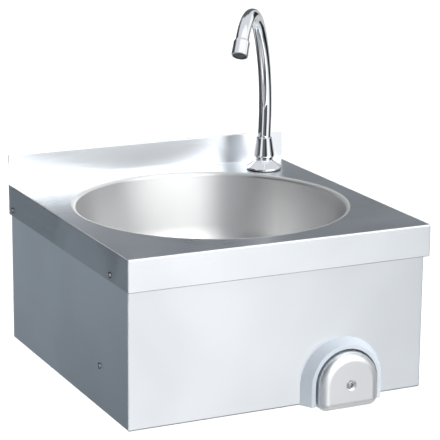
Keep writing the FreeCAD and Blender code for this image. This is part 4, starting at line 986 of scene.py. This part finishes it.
@dataclass(frozen=True)
class KneeControl:
    """The knee pad's screw and the spring that pushes the pad out."""

    x: float = 84.0
    z: float = -151.0
    seat_y: float = -415.9
    screw: PanScrew = PanScrew(head_radius=4.2, head_height=2.5, length=11.4, arm_length=2.6)
    spring_front: float = -412.0
    spring_rear: float = -345.4
    coil_radius: float = 8.5
    wire_radius: float = 0.75
    turns: float = 7.0
    closed_turns: float = 0.85
    steps: int = 56
    sides: int = 12
    travel: float = 10.0

    def build(self) -> None:
        """Build the screw and the spring."""
        work = PieceMesh("pad_screw_cross_head")
        self.screw.add_to(work, Stand((self.x, self.seat_y, self.z), Axis.TO_FRONT.value))
        work.place(FINISHES.screw, Body.KNEE, ["pad_screw"])
        self.spring()

    def run(self) -> float:
        """Return how far apart the middles of the spring's first and last turns are."""
        return self.spring_rear - self.spring_front - 2 * self.wire_radius

    def rise(self, turn: float) -> float:
        """Return how far along the spring a turn is, from 0 to 1, with closed coils at both ends.

        Args:
            turn: The number of turns from the front.

        Returns:
            The share of the spring's length.
        """
        closed = self.closed_turns
        pitch = 2 * self.wire_radius / self.run()
        free = (1.0 - 2 * closed * pitch) / (self.turns - 2 * closed)
        if turn < closed:
            return turn * pitch
        if turn > self.turns - closed:
            return 1.0 - (self.turns - turn) * pitch
        return closed * pitch + (turn - closed) * free

    def spring(self) -> None:
        """Wind the spring."""
        work = PieceMesh("return_spring_wound")
        start = self.spring_front + self.wire_radius
        path = []
        for i in range(int(self.turns * self.steps) + 1):
            turn = i / self.steps
            angle = math.tau * turn
            path.append((self.x + self.coil_radius * math.cos(angle), start + self.run() * self.rise(turn),
                         self.z + self.coil_radius * math.sin(angle)))
        work.wire(Stand((0.0, 0.0, 0.0)), path, self.wire_radius, self.sides)
        spring = work.place(FINISHES.spring, Body.SINK, ["return_spring"], Shading.SMOOTH)
        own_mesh(spring)


@dataclass(frozen=True)
class NozzleScreen:
    """The woven wire screen in the mouth of the tap's nozzle."""

    face: Triple = (54.6447, -162.2566, 211.7639)
    down: Triple = (-0.374181, -0.445932, -0.813101)
    recess: float = 1.4
    radius: float = 7.55
    wire: float = 0.13
    pitch: float = 0.85
    lift: float = 0.3
    steps: int = 4
    sides: int = 6

    def build(self) -> None:
        """Weave the screen: each wire goes over and under its neighbours."""
        work = PieceMesh("nozzle_screen")
        spot = tuple(a - self.recess * b for a, b in zip(self.face, self.down))
        stand = Stand(spot, self.down)
        count = int(self.radius / self.pitch)
        for way in (0, 1):
            for k in range(-count, count + 1):
                offset = k * self.pitch
                half = math.sqrt(max(0.0, self.radius ** 2 - offset ** 2))
                steps = max(self.steps, round(2 * half / self.pitch * self.steps))
                path = []
                for i in range(steps + 1):
                    along = -half + 2 * half * i / steps
                    side = 1.0 if (k + way) % 2 else -1.0
                    lift = self.lift + side * self.wire * math.cos(math.pi * along / self.pitch)
                    path.append((along, offset, lift) if way == 0 else (offset, along, lift))
                if half > self.pitch:
                    work.wire(stand, path, self.wire, self.sides)
        work.place(FINISHES.screen_wire, Body.SPOUT, shading=Shading.SMOOTH)


# ------------------------------------------------------------------ studio


@dataclass(frozen=True)
class Card:
    """A soft-edged card in the surroundings.

    at is the azimuth and elevation of its middle, where azimuth 0 is in front of the sink, towards -Y, and 90
    to its right. half is half its width and height. All angles are in degrees.
    """

    at: tuple[float, float]
    half: tuple[float, float]
    light: Colour
    soft: float = 8.0


def grey(light: float, blue: float = 0.0) -> Colour:
    """Return a grey light, with red lowered and blue raised by the share blue."""
    return (light * (1.0 - blue), light, light * (1.0 + blue))


@dataclass(frozen=True)
class Studio:
    """Pale floor far below and white surroundings, with cards for the metal to mirror."""

    floor_drop: float = 0.85
    floor_size: float = 60.0
    floor_colour: Colour = (0.94, 0.94, 0.94)
    floor_roughness: float = 0.9
    white: Colour = (1.0, 1.0, 1.0)
    open_light: Colour = (0.5, 0.53, 0.57)
    mirrored: tuple[Card, ...] = (
        Card(at=(108.0, -14.0), half=(46.0, 36.0), light=grey(0.55), soft=8.0),
        Card(at=(8.0, -20.0), half=(24.0, 30.0), light=grey(1.18), soft=6.0),
        Card(at=(14.0, 46.0), half=(40.0, 35.0), light=grey(3.45), soft=14.0),
        Card(at=(-126.0, 44.0), half=(64.0, 46.0), light=grey(0.03), soft=16.0),
        Card(at=(178.0, 15.0), half=(78.0, 25.0), light=grey(0.09, 0.14), soft=8.0),
        Card(at=(201.0, -25.0), half=(50.0, 18.0), light=grey(0.36, 0.12), soft=6.0),
        Card(at=(206.0, -25.0), half=(6.0, 7.0), light=grey(0.04, 0.12), soft=4.0),
        Card(at=(54.0, -21.0), half=(17.0, 18.0), light=grey(0.2, 0.1), soft=3.0),
        Card(at=(0.0, -68.0), half=(200.0, 26.0), light=grey(0.05, 0.1), soft=6.0),
    )
    polished: tuple[Card, ...] = (
        Card(at=(0.0, 50.0), half=(62.0, 30.0), light=grey(1.1), soft=10.0),
        Card(at=(90.0, 20.0), half=(26.0, 14.0), light=grey(1.05), soft=6.0),
        Card(at=(-118.0, -25.0), half=(44.0, 40.0), light=grey(0.09, 0.1), soft=6.0),
        Card(at=(-62.0, -25.0), half=(11.0, 36.0), light=grey(0.95), soft=5.0),
        Card(at=(-32.0, -25.0), half=(17.0, 38.0), light=grey(0.16, 0.1), soft=5.0),
        Card(at=(-7.0, -25.0), half=(13.0, 40.0), light=grey(0.05, 0.12), soft=4.0),
        Card(at=(30.0, -25.0), half=(19.0, 34.0), light=grey(1.05), soft=6.0),
        Card(at=(60.0, -25.0), half=(9.0, 33.0), light=grey(0.3, 0.1), soft=4.0),
        Card(at=(85.0, -22.0), half=(19.0, 28.0), light=grey(0.02, 0.12), soft=4.0),
        Card(at=(124.0, -25.0), half=(20.0, 26.0), light=grey(0.6), soft=5.0),
        Card(at=(119.0, 8.0), half=(9.0, 14.0), light=grey(0.03, 0.12), soft=4.0),
        Card(at=(-150.0, 18.0), half=(26.0, 14.0), light=grey(0.08, 0.12), soft=7.0),
        Card(at=(180.0, -8.0), half=(28.0, 18.0), light=grey(0.05, 0.12), soft=5.0),
        Card(at=(160.0, 26.0), half=(22.0, 26.0), light=grey(0.12, 0.12), soft=6.0),
        Card(at=(108.0, -38.0), half=(12.0, 9.0), light=grey(0.04, 0.12), soft=3.0),
    )
    high_light: Colour = (0.74, 0.76, 0.79)
    soft_light: Colour = (2.1, 2.1, 2.1)
    shading: tuple[Card, ...] = (
        Card(at=(-105.0, 0.0), half=(90.0, 70.0), light=grey(0.1, 0.1), soft=14.0),
    )

    def build(self) -> None:
        """Make the floor and the surroundings."""
        self.floor()
        self.surroundings()
        LOG.info("studio ready")

    def floor(self) -> None:
        """Make the pale floor, which the metal doesn't mirror."""
        mesh = bpy.data.meshes.new("studio_floor")
        half = self.floor_size / 2
        mesh.from_pydata([(-half, -half, 0), (half, -half, 0), (half, half, 0), (-half, half, 0)], [],
                         [(0, 1, 2, 3)])
        floor = bpy.data.objects.new("studio_floor", mesh)
        floor.location.z = -self.floor_drop
        bpy.context.scene.collection.objects.link(floor)
        floor.visible_glossy = False
        paint = bpy.data.materials.new("studio_floor")
        paint.use_nodes = True
        NodeMaker(paint.node_tree).fill(paint.node_tree.nodes["Principled BSDF"],
                                        Base_Color=(*self.floor_colour, 1.0), Roughness=self.floor_roughness)
        mesh.materials.append(paint)

    def light_from(self, maker: NodeMaker, base: Colour, cards: Sequence[Card]) -> Socket:
        """Lay cards over a plain light.

        Args:
            maker: What adds nodes to the world.
            base: The light where no card is.
            cards: The cards, the later ones in front.

        Returns:
            The background's output.
        """
        light: object = (*base, 1.0)
        for card in cards:
            mask = CARD_MASK.place(maker, Azimuth=card.at[0], Elevation=card.at[1], Half_Width=card.half[0],
                                   Half_Height=card.half[1], Soft=card.soft)
            light = maker.mix(Mixed.COLOUR, mask["Cover"], light, (*card.light, 1.0))
        return maker.add("ShaderNodeBackground", {"Color": light}).outputs[0]

    def surroundings(self) -> None:
        """Make the surroundings: white to look at, cards for mirrored light, broad shading for soft light."""
        world = bpy.data.worlds.new("studio")
        bpy.context.scene.world = world
        world.use_nodes = True
        world.cycles.sampling_method = "NONE"
        world.node_tree.nodes.clear()
        maker = NodeMaker(world.node_tree)
        path = maker.add("ShaderNodeLightPath").outputs
        light = self.light_from(maker, self.open_light, self.mirrored)
        for ray, base, cards in (("Is Singular Ray", self.high_light, self.polished),
                                 ("Is Diffuse Ray", self.soft_light, self.shading),
                                 ("Is Camera Ray", self.white, ())):
            special = self.light_from(maker, base, cards)
            light = maker.add("ShaderNodeMixShader", {0: path[ray], 1: light, 2: special}).outputs[0]
        maker.add("ShaderNodeOutputWorld", {"Surface": light})


@dataclass(frozen=True)
class PhotoCamera:
    """The photograph's viewpoint: angles in degrees, focal length in pixels of a 440-pixel frame."""

    place: Triple = (-1.02788, -2.36425, 0.63211)
    yaw: float = 25.641
    pitch: float = 14.513
    roll: float = 0.506
    focal_pixels: float = 1957.0
    frame_pixels: float = 440.0
    sensor_width: float = 36.0
    near: float = 0.05
    far: float = 200.0

    def build(self) -> None:
        """Make the camera and set it as the scene's."""
        data = bpy.data.cameras.new("photo_camera")
        data.sensor_width = self.sensor_width
        data.lens = self.focal_pixels / self.frame_pixels * self.sensor_width
        data.clip_start, data.clip_end = self.near, self.far
        camera = bpy.data.objects.new("photo_camera", data)
        yaw, pitch, roll = (math.radians(a) for a in (self.yaw, self.pitch, self.roll))
        ahead = Vector((math.sin(yaw) * math.cos(pitch), math.cos(yaw) * math.cos(pitch), -math.sin(pitch)))
        level = Vector((math.cos(yaw), -math.sin(yaw), 0.0))
        upright = level.cross(ahead)
        right = level * math.cos(roll) + upright * math.sin(roll)
        up = upright * math.cos(roll) - level * math.sin(roll)
        turn = Matrix((right, up, -ahead)).transposed()
        camera.matrix_world = Matrix.Translation(self.place) @ turn.to_4x4()
        bpy.context.scene.collection.objects.link(camera)
        bpy.context.scene.camera = camera
        bpy.context.scene.view_settings.view_transform = "Standard"
        LOG.info("camera ready")


def main() -> None:
    """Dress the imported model, add the fine pieces, and set up the studio."""
    logging.basicConfig(level=logging.INFO, format="%(name)s: %(message)s")
    f = FINISHES
    f.worktop.dress("worktop")
    f.bowl.dress("basin_bowl")
    f.casing.dress("casing")
    f.bracket.dress("wall_bracket", "valve_rail")
    f.screw.dress("side_screws", "rail_screws", "surround_screws", "pad_screw", "waste_screw", "rivet_nuts")
    f.pad.dress("knee_pad")
    f.rod.dress("push_rod")
    f.spring.dress("return_spring")
    f.surround.dress("knee_surround")
    f.cast_brass.dress("valve_body", "inlet_manifold")
    f.turned_brass.dress("valve_bonnet", "valve_locknut", "valve_piston", "check_valves", "tap_backnut",
                         "union_nuts", "union_tails")
    f.rubber.dress("piston_seal", "tap_gasket", "swivel_orings", "aerator_washer", "waste_gasket_upper",
                   "waste_gasket_lower")
    f.fibre.dress("tap_washer")
    f.chrome.dress("tap_base", "spout_nut", "spout_tube", "aerator_shell")
    f.screen.dress("aerator_insert")
    f.pipe.dress("feed_pipe")
    f.waste_steel.dress("waste_grid")
    f.waste_plastic.dress("waste_body")
    SideScrews().build()
    KneeControl().build()
    NozzleScreen().build()
    Studio().build()
    PhotoCamera().build()


if __name__ == "__main__":
    main()
